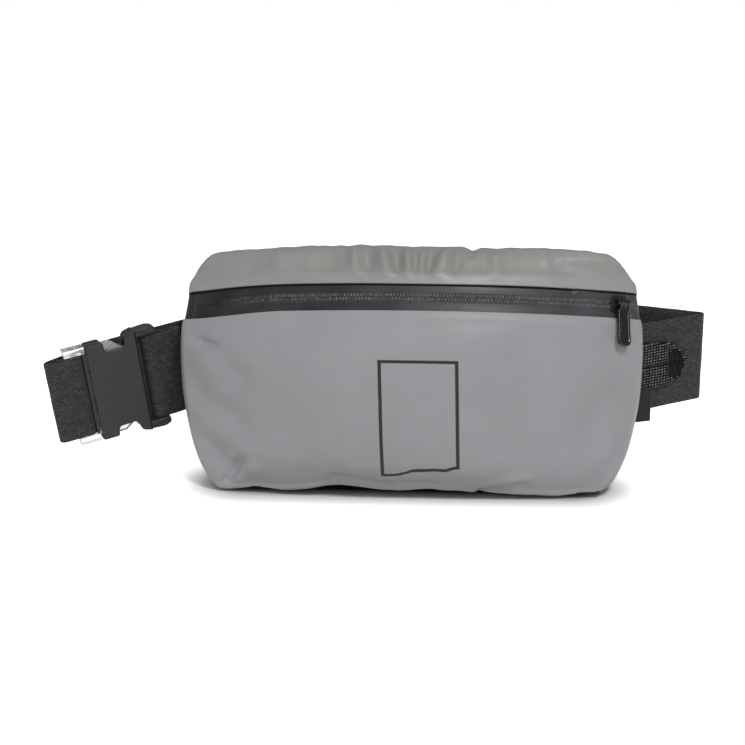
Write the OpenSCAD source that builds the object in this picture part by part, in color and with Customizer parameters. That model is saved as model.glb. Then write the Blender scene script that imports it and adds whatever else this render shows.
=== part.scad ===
// Belt bag: a zipped pouch on a waist belt with a side release buckle.
// Millimetres, +Z up, the viewer on the -Y side, origin at the middle of the flat bottom.

/* [Bag] */
// Width across the side seams
bag_w = 219; // [190:1:260]
// Height of the top ridge
bag_h = 116; // [108:0.5:130]
// Depth of the belly in front of the seam plane
belly_d = 54; // [46:1:64]
// Height of the fullest part of the belly
belly_z = 42; // [34:1:48]
// Depth of the flat bottom
base_d = 36; // [28:1:44]
// Width of the flat bottom along its front edge
base_w = 172; // [140:1:180]
// Thickness of the coated fabric
fabric_t = 1; // [0.6:0.1:1.6]
// Thickness of the lining cloth
lining_t = 0.6; // [0.4:0.1:1]
// Gap between cloth layers that lie on each other
layer_gap = 0.3; // [0.2:0.05:0.5]
// Gap under stitches, and between webbing and the bar it goes round
sewn_gap = 0.1; // [0.05:0.05:0.2]

/* [Back] */
// Thickness of the spacer mesh back
back_t = 4; // [3:0.5:6]
// Thickness of the foam sheet
foam_t = 3; // [2:0.5:5]
// Width of the seam binding
binding_w = 3; // [2:0.5:3.5]
// Depth of the seam binding
binding_d = 2.4; // [1.5:0.1:3]

/* [Zip] */
// Radius of the zip's arc
zip_radius = 200; // [180:1:260]
// Lean of the plane of the arc
zip_lean = 16.5; // [14:0.5:24]
// Lean of the tape at its middle
tape_lean = 32; // [26:0.5:38]
// Height of the zip at its middle
zip_z = 96; // [92:0.1:99]
// Depth of the zip at its middle in front of the seam plane
zip_d = 41.5; // [38:0.5:44]
// Width of tape that shows between the panels
zip_show = 14.5; // [12:0.5:16]
// Tape width that is sewn under a panel
tape_allow = 3; // [2:0.5:4]
// Thickness of a tape
tape_t = 0.8; // [0.6:0.1:1]
// Gap between the two tapes
tape_gap = 2.4; // [2:0.1:3]
// Width of one coil
coil_w = 2.6; // [2:0.1:3]
// Thickness of a coil
coil_t = 1; // [0.8:0.1:1.4]
// Length of an end stop along the tape
stop_l = 2; // [1.6:0.1:4]

/* [Slider] */
// Length of the slider
slider_l = 10; // [9:0.5:14]
// Width of the slider across the tapes
slider_w = 8.8; // [7.5:0.1:10]
// Thickness of a slider plate
plate_t = 1.2; // [1:0.1:1.6]
// Clearance between the slider and what runs in it
slider_clear = 0.5; // [0.4:0.1:0.8]
// Radius of the bar that the pull swings on
bar_r = 0.9; // [0.7:0.1:1.1]
// Running clearance of the pull and of the sprung arms on their pivots
pivot_clear = 0.06; // [0.03:0.01:0.09]
// Wall of the pull's eye
eye_wall = 1; // [0.8:0.1:1.2]
// Width of the pull
pull_w = 6.4; // [5:0.1:8]
// Length of the pull below its bar
pull_l = 19.5; // [16:0.5:26]
// How far the hanging pull is swung out by the belly
pull_swing = 9; // [7:0.5:20]
// Thickness of the pull
pull_t = 2; // [1.6:0.1:2.4]

/* [Belt] */
// Width of the belt webbing
belt_w = 41; // [30:1:46]
// Width of the short strap that holds the socket
strap_w = 43; // [34:1:46]
// Thickness of the webbing
web_t = 1.4; // [1:0.1:1.8]
// Height of the belt at the side seams
belt_z = 53; // [46:1:58]
// Turn of the right strap away from the viewer
right_yaw = 25; // [15:1:35]
// Rise of the right strap towards its fold
right_rise = 5; // [0:0.5:8]
// How far the right fold stands out from the side seam
fold_reach = 35; // [24:1:44]
// How far the rear of the belt hangs behind the seam plane
rear_d = 25; // [20:1:34]
// Length of the mesh wing
wing_l = 27.5; // [24:0.5:30]
// Height of the mesh wing at the seam
wing_h = 25; // [20:0.5:28]
// Thickness of the mesh wing
wing_t = 2.4; // [1.6:0.2:3]
// Length of the folded side label
label_l = 9; // [6:0.5:12]
// Height of the side label
label_h = 17; // [12:0.5:18]
// Thickness of one layer of the label
label_t = 0.5; // [0.4:0.1:0.8]
// Length of the loose end past the adjuster
tail_l = 32; // [28:1:60]

/* [Buckle] */
// Turn of the left strap towards the viewer
buckle_yaw = 29.5; // [20:0.5:36]
// Rise of the left strap towards the bag
buckle_rise = 9.5; // [4:0.5:14]
// Lean of the buckle's upper edge towards the viewer
buckle_lean = 5; // [0:0.5:8]
// Distance from the left seam to the socket's mouth
strap_reach = 49; // [48:0.5:60]
// Length of the socket's closed body
socket_l = 25; // [24:0.5:27]
// Thickness of the socket's body
socket_t = 9.5; // [8.5:0.1:12]
// Wall of the socket
socket_wall = 2; // [1.6:0.1:2.4]
// Thickness of the plug's blades
blade_t = 4.4; // [3.6:0.1:4.6]
// Radius of the bars that the webbing goes round
web_bar_r = 1.9; // [1.5:0.1:2.2]
// Width of a side rail of the frames that hold webbing
rail_w = 2.8; // [2:0.1:4]
// Start of the side windows behind the mouth
window_x = 8.5; // [7:0.5:10]
// Length of the side windows
window_l = 10; // [8:0.5:11]
// Depth of the side windows
window_d = 5; // [4:0.1:6]
// Clearance between the plug and the socket
plug_clear = 0.4; // [0.3:0.05:0.6]
// Width of the middle guide
guide_w = 7; // [5:0.5:9]
// Length of the middle guide
guide_l = 15; // [10:0.5:18]
// Radius of the root of a sprung arm
root_r = 2; // [1.6:0.1:2.4]
// Distance of the adjuster past the left seam along the belt
adjuster_x = 23; // [16:1:40]

/* [Hidden] */
$fn = 64;

fabric_grey = "#929295";
tape_black = "#3e3c3e";
mesh_black = "#2a2a2b";
web_black = "#232324";
lining_grey = "#6d6f72";
metal_black = "#151516";
buckle_black = "#303033";
clear_plastic = "#d8dde0";

// Seam plane, where the front and top panels meet the back panel
half_w = bag_w / 2;
seam_y = base_d / 2;
back_y = seam_y + layer_gap;
belly_y = seam_y - belly_d;

// Zip arc: a circle in a leaning plane, on a cone, so that the slider turns about one axis
cone = tape_lean - zip_lean;
axis_up = [0, sin(zip_lean), cos(zip_lean)];
axis_back = [0, cos(zip_lean), -sin(zip_lean)];
zip_mid = [0, seam_y - zip_d, zip_z];
zip_centre = zip_mid + zip_radius * axis_back;
zip_end_in = 5;
zip_seam_in = 2.5;
zip_end_x = half_w - zip_end_in;
zip_seam_x = half_w - zip_seam_in;
zip_end = asin(zip_end_x / zip_radius);
fabric_n = tape_t / 2 + layer_gap + fabric_t;
hem_past = 1.5;
hem = tape_allow + hem_past;
half_show = zip_show / 2;

// A point of the zip's circle family: radius r, height h along the axis
function zip_point(turn, r, h) =
    zip_centre + r * [sin(turn), 0, 0] - r * cos(turn) * axis_back + h * axis_up;
// Radius and height of a point on the tape: up along the tape, out along its normal
function band_r(up, out) = zip_radius - up * sin(cone) + out * cos(cone);
function band_h(up, out) = up * cos(cone) + out * sin(cone);

// Smooth curve through a list of vectors
function pick(list, i) = list[max(0, min(len(list) - 1, i))];
function blend4(a, b, c, d, t) =
    0.5 * (2 * b + (c - a) * t + (2 * a - 5 * b + 4 * c - d) * t * t + (3 * b - a - 3 * c + d) * t * t * t);
function smooth(list, steps) = [
    for (i = [0:len(list) - 2])
        for (k = [0:steps - 1])
            blend4(pick(list, i - 1), list[i], list[i + 1], pick(list, i + 2), k / steps),
    list[len(list) - 1]
];

// A row of a panel: [middle y, middle z, arc end x, y, z, seam x, seam z]
row_steps = 3;
arc_steps = 10;
corner_steps = 5;
corner_pull = 6;
last_col = 2 * (arc_steps + corner_steps);

function zip_row(r, h, seam_x, seam_z) =
    let (middle = zip_point(0, r, h), end = zip_point(zip_end, r, h))
    [middle.y, middle.z, end.x, end.y, end.z, seam_x, seam_z];

function bezier(a, b, c, t) = (1 - t) * (1 - t) * a + 2 * t * (1 - t) * b + t * t * c;

function mirrored(p) = [-p.x, p.y, p.z];

// Right half of a row: the arc from the middle, then the rounded corner back to the seam
function half_row(row) =
    let (
        drop = [row[3] - row[0], row[4] - row[1]],
        sag = max(norm(drop), 0.01),
        radius = (row[2] * row[2] + sag * sag) / (2 * sag),
        turn = asin(row[2] / radius),
        way = drop / sag,
        end = [row[2], row[3], row[4]],
        bend = end + corner_pull * [cos(turn), way.x * sin(turn), way.y * sin(turn)],
        seam = [row[5], seam_y, row[6]]
    )
    [
        for (k = [0:arc_steps])
            let (x = row[2] * k / arc_steps, dip = radius - sqrt(radius * radius - x * x))
            [x, row[0] + way.x * dip, max(0, row[1] + way.y * dip)],
        for (k = [1:corner_steps])
            let (p = bezier(end, bend, seam, k / corner_steps))
            [p.x, p.y, max(0, p.z)]
    ];

function full_row(row) =
    let (half = half_row(row), n = len(half))
    [for (k = [n - 1:-1:1]) mirrored(half[k]), for (p = half) p];

// Rows of the front panel, from the zip down and under to the back seam
base_front = -base_d / 2;
hem_r = band_r(-half_show - hem, fabric_n);
front_rows = [
    zip_row(band_r(-half_show, fabric_n), band_h(-half_show, fabric_n), zip_seam_x, zip_z - 17),
    zip_row(hem_r, band_h(-half_show - hem, fabric_n), half_w - 1.8, zip_z - 21),
    zip_row(hem_r, band_h(-half_show, 0) - 18, half_w - 0.5, zip_z - 36),
    [belly_y, belly_z, half_w - 3.5, seam_y - 24, belly_z, half_w, belly_z - 1],
    [belly_y + 3, belly_z - 23, half_w - 9, seam_y - 29, belly_z - 23, half_w - 3.5, belly_z - 23],
    [base_front - 7, 5, base_w / 2 + 7, base_front + 3, 5, base_w / 2 + 14, 6.5],
    [base_front, 0, base_w / 2, base_front + 5, 0, base_w / 2 + 9, 3],
    [seam_y, 0, base_w / 2 - 4, seam_y, 0, base_w / 2 + 3, 0]
];
front_grid = [for (row = smooth(front_rows, row_steps)) full_row(row)];

// Rows of the top panel, from the back seam over the ridge to the zip
top_rows = [
    [seam_y, bag_h - 4.5, half_w - 24, seam_y, bag_h - 7.5, half_w - 16, bag_h - 10],
    [seam_y - 6, bag_h - 1, half_w - 22, seam_y - 4, bag_h - 5, half_w - 12.5, bag_h - 12],
    [seam_y - 15, bag_h, half_w - 17, seam_y - 9, bag_h - 5, half_w - 9, bag_h - 15],
    [seam_y - 24, bag_h - 2, half_w - 12.5, seam_y - 12, bag_h - 9, half_w - 6.5, bag_h - 18.5],
    [seam_y - 32, bag_h - 7, half_w - 8.5, seam_y - 12, bag_h - 16, half_w - 4, bag_h - 21.5],
    zip_row(band_r(half_show + hem, fabric_n), band_h(half_show + hem, fabric_n), half_w - 3, zip_z - 3.5),
    zip_row(band_r(half_show, fabric_n), band_h(half_show, fabric_n), zip_seam_x, zip_z - 5)
];
top_grid = [for (row = smooth(top_rows, row_steps)) full_row(row)];

// Outline of the back, taken from the seam edges of the two panels
function flat(p) = [p.x, p.z];
right_edge = concat(
    [for (i = [len(front_grid) - 1:-1:0]) flat(front_grid[i][last_col])],
    [for (i = [len(top_grid) - 1:-1:0]) flat(top_grid[i][last_col])]
);
back_outline = concat(
    right_edge,
    [for (j = [last_col - 1:-1:1]) flat(top_grid[0][j])],
    [for (i = [len(right_edge) - 1:-1:0]) [-right_edge[i].x, right_edge[i].y]]
);

// Insets of the layers inside the seam: panel, tape end, binding, foam
tab_in = 2 * fabric_t + 2 * layer_gap;
binding_in = tab_in + tape_t + layer_gap;
foam_in = binding_in + binding_w + layer_gap;

// Inward normal of a grid of points, and the grid moved along it
function unit(v) = v / norm(v);
function inward(g, i, j) =
    let (rows = len(g) - 1, cols = len(g[0]) - 1)
    unit(cross(
        g[i][min(cols, j + 1)] - g[i][max(0, j - 1)],
        g[min(rows, i + 1)][j] - g[max(0, i - 1)][j]
    ));
function moved_in(g, by) = [
    for (i = [0:len(g) - 1])
        [for (j = [0:len(g[0]) - 1])
            let (p = g[i][j] + by * inward(g, i, j))
            [p.x, min(p.y, seam_y), max(p.z, g[i][j].z < 0.01 ? by : p.z)]]
];
function part_of(g, i0, i1, j0, j1) = [for (i = [i0:i1]) [for (j = [j0:j1]) g[i][j]]];

// Closed shell between an outer and an inner grid
module shell(outer, inner) {
    rows = len(outer);
    cols = len(outer[0]);
    skin = rows * cols;
    function id(i, j) = i * cols + j;
    function quad(a, b, c, d) = [[a, b, c], [a, c, d]];
    faces = concat(
        [for (i = [0:rows - 2]) for (j = [0:cols - 2])
            each quad(id(i, j), id(i, j + 1), id(i + 1, j + 1), id(i + 1, j))],
        [for (i = [0:rows - 2]) for (j = [0:cols - 2])
            each quad(skin + id(i, j), skin + id(i + 1, j), skin + id(i + 1, j + 1), skin + id(i, j + 1))],
        [for (j = [0:cols - 2])
            each quad(id(0, j), skin + id(0, j), skin + id(0, j + 1), id(0, j + 1))],
        [for (j = [0:cols - 2])
            let (a = id(rows - 1, j), b = id(rows - 1, j + 1))
            each quad(b, skin + b, skin + a, a)],
        [for (i = [0:rows - 2])
            each quad(id(i + 1, 0), skin + id(i + 1, 0), skin + id(i, 0), id(i, 0))],
        [for (i = [0:rows - 2])
            let (a = id(i, cols - 1), b = id(i + 1, cols - 1))
            each quad(a, skin + a, skin + b, b)]
    );
    polyhedron(points = concat([for (r = outer) each r], [for (r = inner) each r]), faces = faces);
}

// Webbing: a flat strip swept along a path, its width as near as can be to the way up given for each point
function heading(path, i) = unit(pick(path, i + 1) - pick(path, i - 1));
function upright(way, up) = unit(up - (up * way) * way);
straight_up = [0, 0, 1];
module ribbon(path, ups, width, thick) {
    n = len(path);
    points = [
        for (i = [0:n - 1])
            let (
                way = heading(path, i),
                wide = upright(way, pick(ups, i)) * width / 2,
                deep = unit(cross(way, wide)) * thick / 2
            )
            each [for (q = [wide + deep, wide - deep, -wide - deep, deep - wide]) path[i] + q]
    ];
    faces = concat(
        [for (i = [0:n - 2]) for (k = [0:3])
            let (a = 4 * i + k, b = 4 * i + (k + 1) % 4)
            each [[a, b + 4, a + 4], [a, b, b + 4]]],
        [[0, 2, 1], [0, 3, 2]],
        [[4 * n - 1, 4 * n - 3, 4 * n - 2], [4 * n - 1, 4 * n - 4, 4 * n - 3]]
    );
    polyhedron(points = points, faces = faces);
}

// Points of an arc in the plane that the webbing runs in
fold_steps = 8;
function arc(centre, r, from, to) = [
    for (k = [0:fold_steps])
        let (turn = from + (to - from) * k / fold_steps)
        [centre.x + r * cos(turn), centre.y + r * sin(turn), 0]
];

// Flat piece drawn in X and Z, with its thickness along Y from y0 to y1
module slab(y0, y1) {
    translate([0, y1, 0]) rotate([90, 0, 0]) linear_extrude(y1 - y0) children();
}

// Zip placing
module zip_place() {
    translate(zip_centre) rotate([-zip_lean, 0, 0]) children();
}
module on_zip(turn) {
    zip_place() rotate([0, 0, turn]) translate([0, -zip_radius, 0]) rotate([-cone, 0, 0]) children();
}
module band_strip(up0, up1, out0, out1, from, to) {
    zip_place() rotate_extrude(angle = to - from, start = 270 + from)
        polygon([for (q = [[up0, out0], [up0, out1], [up1, out1], [up1, out0]])
            [band_r(q[0], q[1]), band_h(q[0], q[1])]]);
}

// Zip angles: stop, slider at rest, ends of the coils
function along(length) = length / zip_radius * 180 / PI;
stop_in = 1;
stop_turn = zip_end - along(stop_l / 2 + stop_in);
slider_turn = stop_turn - along(stop_l / 2 + slider_l / 2 + slider_clear);
coil_short = 4;
coil_end = slider_turn + along(slider_l / 2 - coil_short);

// Slider depths: front plate, coil side plate, bar of the pull
front_gap = tape_t / 2 + slider_clear;
coil_face = tape_t / 2 + sewn_gap + coil_t;
rear_gap = coil_face + slider_clear;
eye_r = bar_r + pivot_clear + eye_wall;
bar_out = front_gap + plate_t + eye_r + slider_clear;
lug_t = 1.2;
lug_gap = 0.2;
eye_w = pull_w - 2 * (lug_t + lug_gap);

module front_panel() {
    color(fabric_grey) shell(front_grid, moved_in(front_grid, fabric_t));
}

module top_panel() {
    color(fabric_grey) shell(top_grid, moved_in(top_grid, fabric_t));
}

module back_panel() {
    color(mesh_black) slab(back_y, back_y + back_t) polygon(back_outline);
}

module back_foam() {
    color(lining_grey) slab(seam_y - foam_t, seam_y) offset(delta = -foam_in) polygon(back_outline);
}

module back_lining() {
    lining_y = seam_y - foam_t - layer_gap;
    color(lining_grey) slab(lining_y - lining_t, lining_y) offset(delta = -foam_in) polygon(back_outline);
}

// The lining starts below the zip tape and stops short of the seam
lining_row = 2 * row_steps;
lining_in = fabric_t + layer_gap;
module front_lining() {
    skin = moved_in(front_grid, lining_in);
    inner = moved_in(front_grid, lining_in + lining_t);
    bottom = len(front_grid) - 2;
    color(lining_grey) shell(
        part_of(skin, lining_row, bottom, 2, last_col - 2),
        part_of(inner, lining_row, bottom, 2, last_col - 2)
    );
}

module seam_binding() {
    color(web_black) slab(seam_y - binding_d, seam_y) difference() {
        offset(delta = -binding_in) polygon(back_outline);
        offset(delta = -binding_in - binding_w) polygon(back_outline);
    }
}

module zip_tape_upper() {
    color(tape_black)
        band_strip(tape_gap / 2, half_show + tape_allow, -tape_t / 2, tape_t / 2, -zip_end, zip_end);
}

module zip_tape_lower() {
    color(tape_black)
        band_strip(-half_show - tape_allow, -tape_gap / 2, -tape_t / 2, tape_t / 2, -zip_end, zip_end);
}

module zip_coil(side) {
    near = tape_gap / 10;
    color(metal_black) band_strip(
        side > 0 ? near : -near - coil_w, side > 0 ? near + coil_w : -near,
        -coil_face, -tape_t / 2 - sewn_gap, -coil_end, coil_end
    );
}

module zip_coil_upper() {
    zip_coil(1);
}

module zip_coil_lower() {
    zip_coil(-1);
}

// The tape's end turned round the corner to the seam, under the edges of the panels
tab_steps = 4;
tab_allow = 2;
tab_drop = 11;
tab_spread = 12;
tape_way = [cos(zip_end), 0, 0] + sin(zip_end) * axis_back;
module zip_end_tab(side) {
    outer_rows = [
        for (k = [tab_steps:-1:0])
            let (
                up = (half_show + tab_allow) * (2 * k / tab_steps - 1),
                r = band_r(up, 0),
                h = band_h(up, 0),
                seam_z = zip_z - tab_drop + up * tab_spread / zip_show,
                row = half_row(zip_row(r, h, zip_seam_x - tab_in, seam_z))
            )
            [for (j = [arc_steps:arc_steps + corner_steps]) row[j] + layer_gap * tape_way]
    ];
    mirror([side > 0 ? 0 : 1, 0, 0])
        color(tape_black) shell(outer_rows, moved_in(outer_rows, tape_t));
}

module zip_end_tab_left() {
    zip_end_tab(-1);
}

module zip_end_tab_right() {
    zip_end_tab(1);
}

// End stop: two bars across the tapes, joined through the gap between them
module zip_stop(turn) {
    grip_w = 1.4;
    stop_w = tape_gap + 2 * grip_w;
    stop_t = 0.9;
    touch = sewn_gap / 2;
    web_w = tape_gap - 2 * layer_gap;
    color(metal_black) on_zip(turn) union() {
        translate([-stop_l / 2, -tape_t / 2 - touch - stop_t, -stop_w / 2]) cube([stop_l, stop_t, stop_w]);
        translate([-stop_l / 2, tape_t / 2 + touch, -stop_w / 2]) cube([stop_l, stop_t, stop_w]);
        translate([-stop_l / 2, -tape_t / 2 - stop_t, -web_w / 2])
            cube([stop_l, tape_t + 2 * stop_t, web_w]);
    }
}

module zip_stop_left() {
    zip_stop(-stop_turn);
}

module zip_stop_right() {
    zip_stop(stop_turn);
}

module slider_outline() {
    long = slider_l / 2;
    wide = slider_w / 2;
    polygon([
        [-long, -wide * 0.65], [-long * 0.55, -wide], [long * 0.75, -wide], [long, -wide * 0.6],
        [long, wide * 0.6], [long * 0.75, wide], [-long * 0.55, wide], [-long, wide * 0.65]
    ]);
}

module zip_slider() {
    post_w = tape_gap - 2 * layer_gap;
    post_l = 3;
    post_in = 0.4;
    lug_x = eye_w / 2 + lug_gap;
    lug_r = bar_r + eye_wall - lug_gap;
    color(metal_black) on_zip(slider_turn) union() {
        slab(-front_gap - plate_t, -front_gap) slider_outline();
        slab(rear_gap, rear_gap + plate_t) slider_outline();
        translate([slider_l / 2 - post_in - post_l, -front_gap - plate_t / 2, -post_w / 2])
            cube([post_l, front_gap + rear_gap + plate_t, post_w]);
        for (side = [-1, 1]) {
            translate([side > 0 ? lug_x : -lug_x - lug_t, -bar_out, -lug_r])
                cube([lug_t, bar_out - front_gap - plate_t / 2, 2 * lug_r]);
            translate([side > 0 ? lug_x : -lug_x - lug_t, -bar_out, 0])
                rotate([0, 90, 0]) cylinder(r = lug_r, h = lug_t);
        }
        translate([-lug_x - lug_t / 2, -bar_out, 0])
            rotate([0, 90, 0]) cylinder(r = bar_r, h = 2 * lug_x + lug_t);
    }
}

// The pull hangs along the zip's axis, swung out a little so that it lies on the front
module zip_pull() {
    neck_l = 5;
    end_r = pull_w / 2;
    rim = 1;
    rim_t = 0.4;
    shoulder = 2;
    body_z = -pull_l + end_r;
    module outline() {
        polygon([
            [-eye_w / 2, 0], [-eye_w / 2, -neck_l], [-end_r, -neck_l - shoulder], [-end_r, body_z],
            [end_r, body_z], [end_r, -neck_l - shoulder], [eye_w / 2, -neck_l], [eye_w / 2, 0]
        ]);
    }
    color(metal_black) on_zip(slider_turn) translate([0, -bar_out, 0])
        rotate([cone - pull_swing, 0, 0]) difference() {
            union() {
                translate([-eye_w / 2, 0, 0]) rotate([0, 90, 0]) cylinder(r = eye_r, h = eye_w);
                slab(-pull_t / 2, pull_t / 2 - rim_t) outline();
                slab(-pull_t / 2, pull_t / 2 - rim_t) translate([0, body_z]) circle(end_r);
            }
            slab(-pull_t, -pull_t / 2 + rim_t) {
                translate([-end_r + rim, body_z])
                    square([pull_w - 2 * rim, -body_z - neck_l - shoulder - rim]);
                translate([0, body_z]) circle(end_r - rim);
            }
            translate([-pull_w, 0, 0]) rotate([0, 90, 0])
                cylinder(r = bar_r + pivot_clear, h = 2 * pull_w);
        }
}

// Right side of the belt: from the seam to the fold, and back behind the bag to the adjuster
right_root = [half_w + 1, back_y + back_t / 2 + 1.6, belt_z + 1];
fold_r = 2.4;
right_way = [cos(right_yaw) * cos(right_rise), sin(right_yaw) * cos(right_rise), sin(right_rise)];
right_fold = right_root + (fold_reach - fold_r) / cos(right_yaw) * right_way;
rear_y = seam_y + rear_d;

// Left side: everything from the seam to the adjuster lies in the buckle's own frame,
// x towards the bag from the socket's mouth, y away from the viewer, z across the webbing
left_root = [-half_w - 1, seam_y, belt_z];
module buckle_place() {
    translate(left_root) rotate([0, 0, buckle_yaw]) rotate([0, -buckle_rise, 0]) rotate([buckle_lean, 0, 0])
        translate([-strap_reach, 0, 0]) children();
}
function turn_x(p, a) = [p.x, p.y * cos(a) - p.z * sin(a), p.y * sin(a) + p.z * cos(a)];
function turn_y(p, a) = [p.x * cos(a) + p.z * sin(a), p.y, p.z * cos(a) - p.x * sin(a)];
function turn_z(p, a) = [p.x * cos(a) - p.y * sin(a), p.x * sin(a) + p.y * cos(a), p.z];
function from_buckle(p) =
    left_root + turn_z(turn_y(turn_x(p - [strap_reach, 0, 0], buckle_lean), -buckle_rise), buckle_yaw);
buckle_up = from_buckle([0, 0, 1]) - from_buckle([0, 0, 0]);

// Radius of the webbing's middle where it goes round a bar
wrap_r = web_bar_r + sewn_gap + web_t / 2;
// Open slot between the socket's body and the strap, rim of the plug at the mouth, and rails past a bar
slot_w = 2.4;
rim_w = 1.4;
rail_past = 3;
socket_bar_x = socket_l + slot_w + web_t + sewn_gap + web_bar_r;
rim_x = -plug_clear - rim_w;
plug_bar_x = rim_x - layer_gap - web_t - sewn_gap - web_bar_r;
rear_line = socket_t / 2 + web_t / 2 + 5;
adjuster = strap_reach + adjuster_x;
adjuster_bar_r = 1.3;
adjuster_wrap = adjuster_bar_r + sewn_gap + web_t / 2;
slip_gap = 0.4;
loop_l = 8;
adjuster_y = rear_line - adjuster_wrap - web_t - slip_gap;
end_bar_y = rear_line + web_t / 2 + slip_gap + adjuster_bar_r;
end_bar_x = 7.5;

module short_strap() {
    root_y = web_t / 2 + layer_gap / 2;
    sewn_x = strap_reach - 1.8;
    open_x = strap_reach - 8;
    path = concat(
        [[sewn_x, root_y, 0], [open_x, wrap_r * 0.8, 0]],
        arc([socket_bar_x, 0], wrap_r, 90, 270),
        [[open_x, -wrap_r * 0.8, 0], [sewn_x, -root_y, 0]]
    );
    color(web_black) buckle_place() ribbon(path, [straight_up], strap_w, web_t);
}

// The belt's left part loops round the plug's bar, folds back and runs straight through the adjuster
left_fold_x = plug_bar_x - 12;
left_fold_r = 3.9;
module belt_left() {
    path = concat(
        [[plug_bar_x - 7, wrap_r, 0]],
        arc([plug_bar_x, 0], wrap_r, 90, -90),
        arc([left_fold_x, left_fold_r - wrap_r], left_fold_r, 270, 90),
        [
            [left_fold_x + 10, rear_line - 3, 0], [left_fold_x + 22, rear_line - 0.8, 0],
            [left_fold_x + 34, rear_line, 0], [adjuster, rear_line, 0], [adjuster + tail_l, rear_line, 0]
        ]
    );
    color(web_black) buckle_place() ribbon(path, [straight_up], belt_w, web_t);
}

// Points in the bag's frame; the last ones follow the adjuster's own frame round its middle bar
right_side = [-sin(right_yaw), cos(right_yaw), 0];
right_out = [cos(right_yaw), sin(right_yaw), 0];
fold_hinge = right_fold + fold_r * right_side;
right_front = concat(
    [right_root, (right_root + right_fold) / 2],
    [for (k = [0:fold_steps])
        let (turn = 180 * k / fold_steps)
        fold_hinge - fold_r * cos(turn) * right_side + fold_r * sin(turn) * right_out]
);
right_rear = smooth([
    [half_w, rear_y, belt_z + 7], [half_w * 0.5, rear_y + 0.5, belt_z + 6],
    [0, rear_y - 1, belt_z + 5], [-half_w * 0.45, rear_y - 4, belt_z + 3.5]
], 3);
right_end = [for (p = concat(
    [for (x = [2 * loop_l, loop_l]) [adjuster + x, adjuster_y - adjuster_wrap, 0]],
    arc([adjuster, adjuster_y], adjuster_wrap, 270, 90),
    [[adjuster + loop_l, adjuster_y + adjuster_wrap, 0]]
)) from_buckle(p)];
rear_last = len(right_rear) - 1;
right_ups = concat(
    [for (p = right_front) straight_up],
    [for (k = [0:rear_last]) straight_up + (buckle_up - straight_up) * k / rear_last],
    [buckle_up]
);

module belt_right() {
    color(web_black) ribbon(concat(right_front, right_rear, right_end), right_ups, belt_w, web_t);
}

// Mesh wing: pointed tab that lies on the front of the right strap
wing_out = web_t / 2 + wing_t / 2 + layer_gap;
module on_right_strap() {
    translate(right_root) rotate([0, 0, right_yaw]) rotate([0, -right_rise, 0]) children();
}
module wing_right() {
    half = wing_h / 2;
    color(mesh_black) on_right_strap() slab(-wing_out - wing_t / 2, -wing_out + wing_t / 2) polygon([
        [0, -half], [0, half], [wing_l * 0.7, half * 0.8],
        [wing_l, half * 0.2], [wing_l * 0.75, -half * 0.8]
    ]);
}

// Woven label folded at its outer edge, below the wing
module side_label() {
    label_z = belt_z - 8 - label_h / 2;
    gap = 0.2;
    color(web_black) translate([half_w + 0.4, seam_y - 1, label_z]) rotate([0, 0, right_yaw])
        linear_extrude(label_h, center = true) difference() {
            union() {
                translate([0, -label_t - gap / 2]) square([label_l - label_t, 2 * label_t + gap]);
                translate([label_l - label_t - gap / 2, 0]) circle(label_t + gap / 2);
            }
            translate([-1, -gap / 2]) square([label_l - label_t + 1 - gap / 2, gap]);
        }
}

// Closed body with windows in its sides, and a frame with a bar for the strap
mouth_w = strap_w + 2 * rail_w;
frame_w = mouth_w + 4;
cavity_h = blade_t + 2 * plug_clear;
cavity_w = mouth_w - 2 * socket_wall;
cavity_l = socket_l - socket_wall;
module buckle_socket() {
    rail_in = strap_w / 2 + plug_clear;
    rail_t = 2 * web_bar_r + 1;
    color(buckle_black) buckle_place() union() {
        difference() {
            slab(-socket_t / 2, socket_t / 2) polygon([
                [0, -mouth_w / 2], [window_x, -mouth_w / 2], [window_x, -mouth_w / 2 + window_d],
                [window_x + window_l, -mouth_w / 2 + window_d], [window_x + window_l + 1.5, -frame_w / 2],
                [socket_l, -frame_w / 2], [socket_l, frame_w / 2], [window_x + window_l + 1.5, frame_w / 2],
                [window_x + window_l, mouth_w / 2 - window_d], [window_x, mouth_w / 2 - window_d],
                [window_x, mouth_w / 2], [0, mouth_w / 2]
            ]);
            translate([-1, -cavity_h / 2, -cavity_w / 2]) cube([cavity_l + 1, cavity_h, cavity_w]);
        }
        for (side = [-1, 1])
            translate([socket_l - 1, -rail_t / 2, side > 0 ? rail_in : -frame_w / 2])
                cube([socket_bar_x + web_bar_r + rail_past - socket_l + 1, rail_t, frame_w / 2 - rail_in]);
        translate([socket_bar_x, 0, -rail_in - 1]) cylinder(r = web_bar_r, h = 2 * rail_in + 2);
    }
}

// Sprung arm: root, beam and barb, for the upper side
root_x = 2.4;
root_z = cavity_w / 2 - 7.5;
barb_z = mouth_w / 2 - 1.2;
barb_x = window_x + plug_clear;
barb_end = window_x + window_l - plug_clear;
module prong() {
    beam = 3;
    tip_x = cavity_l - 1.6;
    tip_z = mouth_w / 2 - window_d - 1.5;
    union() {
        slab(-blade_t / 2, blade_t / 2) translate([root_x, root_z]) circle(root_r);
        slab(-blade_t / 2, blade_t / 2) polygon([
            [root_x, root_z - beam / 2], [root_x, root_z + beam / 2],
            [barb_x, tip_z - 0.3], [barb_x, barb_z], [barb_x + 4, barb_z], [barb_end, tip_z + 1.4],
            [tip_x, tip_z], [tip_x, tip_z - 2.4], [barb_x, tip_z - beam - 0.3]
        ]);
    }
}

module plug_prong_upper() {
    color(clear_plastic) buckle_place() prong();
}

module plug_prong_lower() {
    color(clear_plastic) buckle_place() mirror([0, 0, 1]) prong();
}

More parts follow.
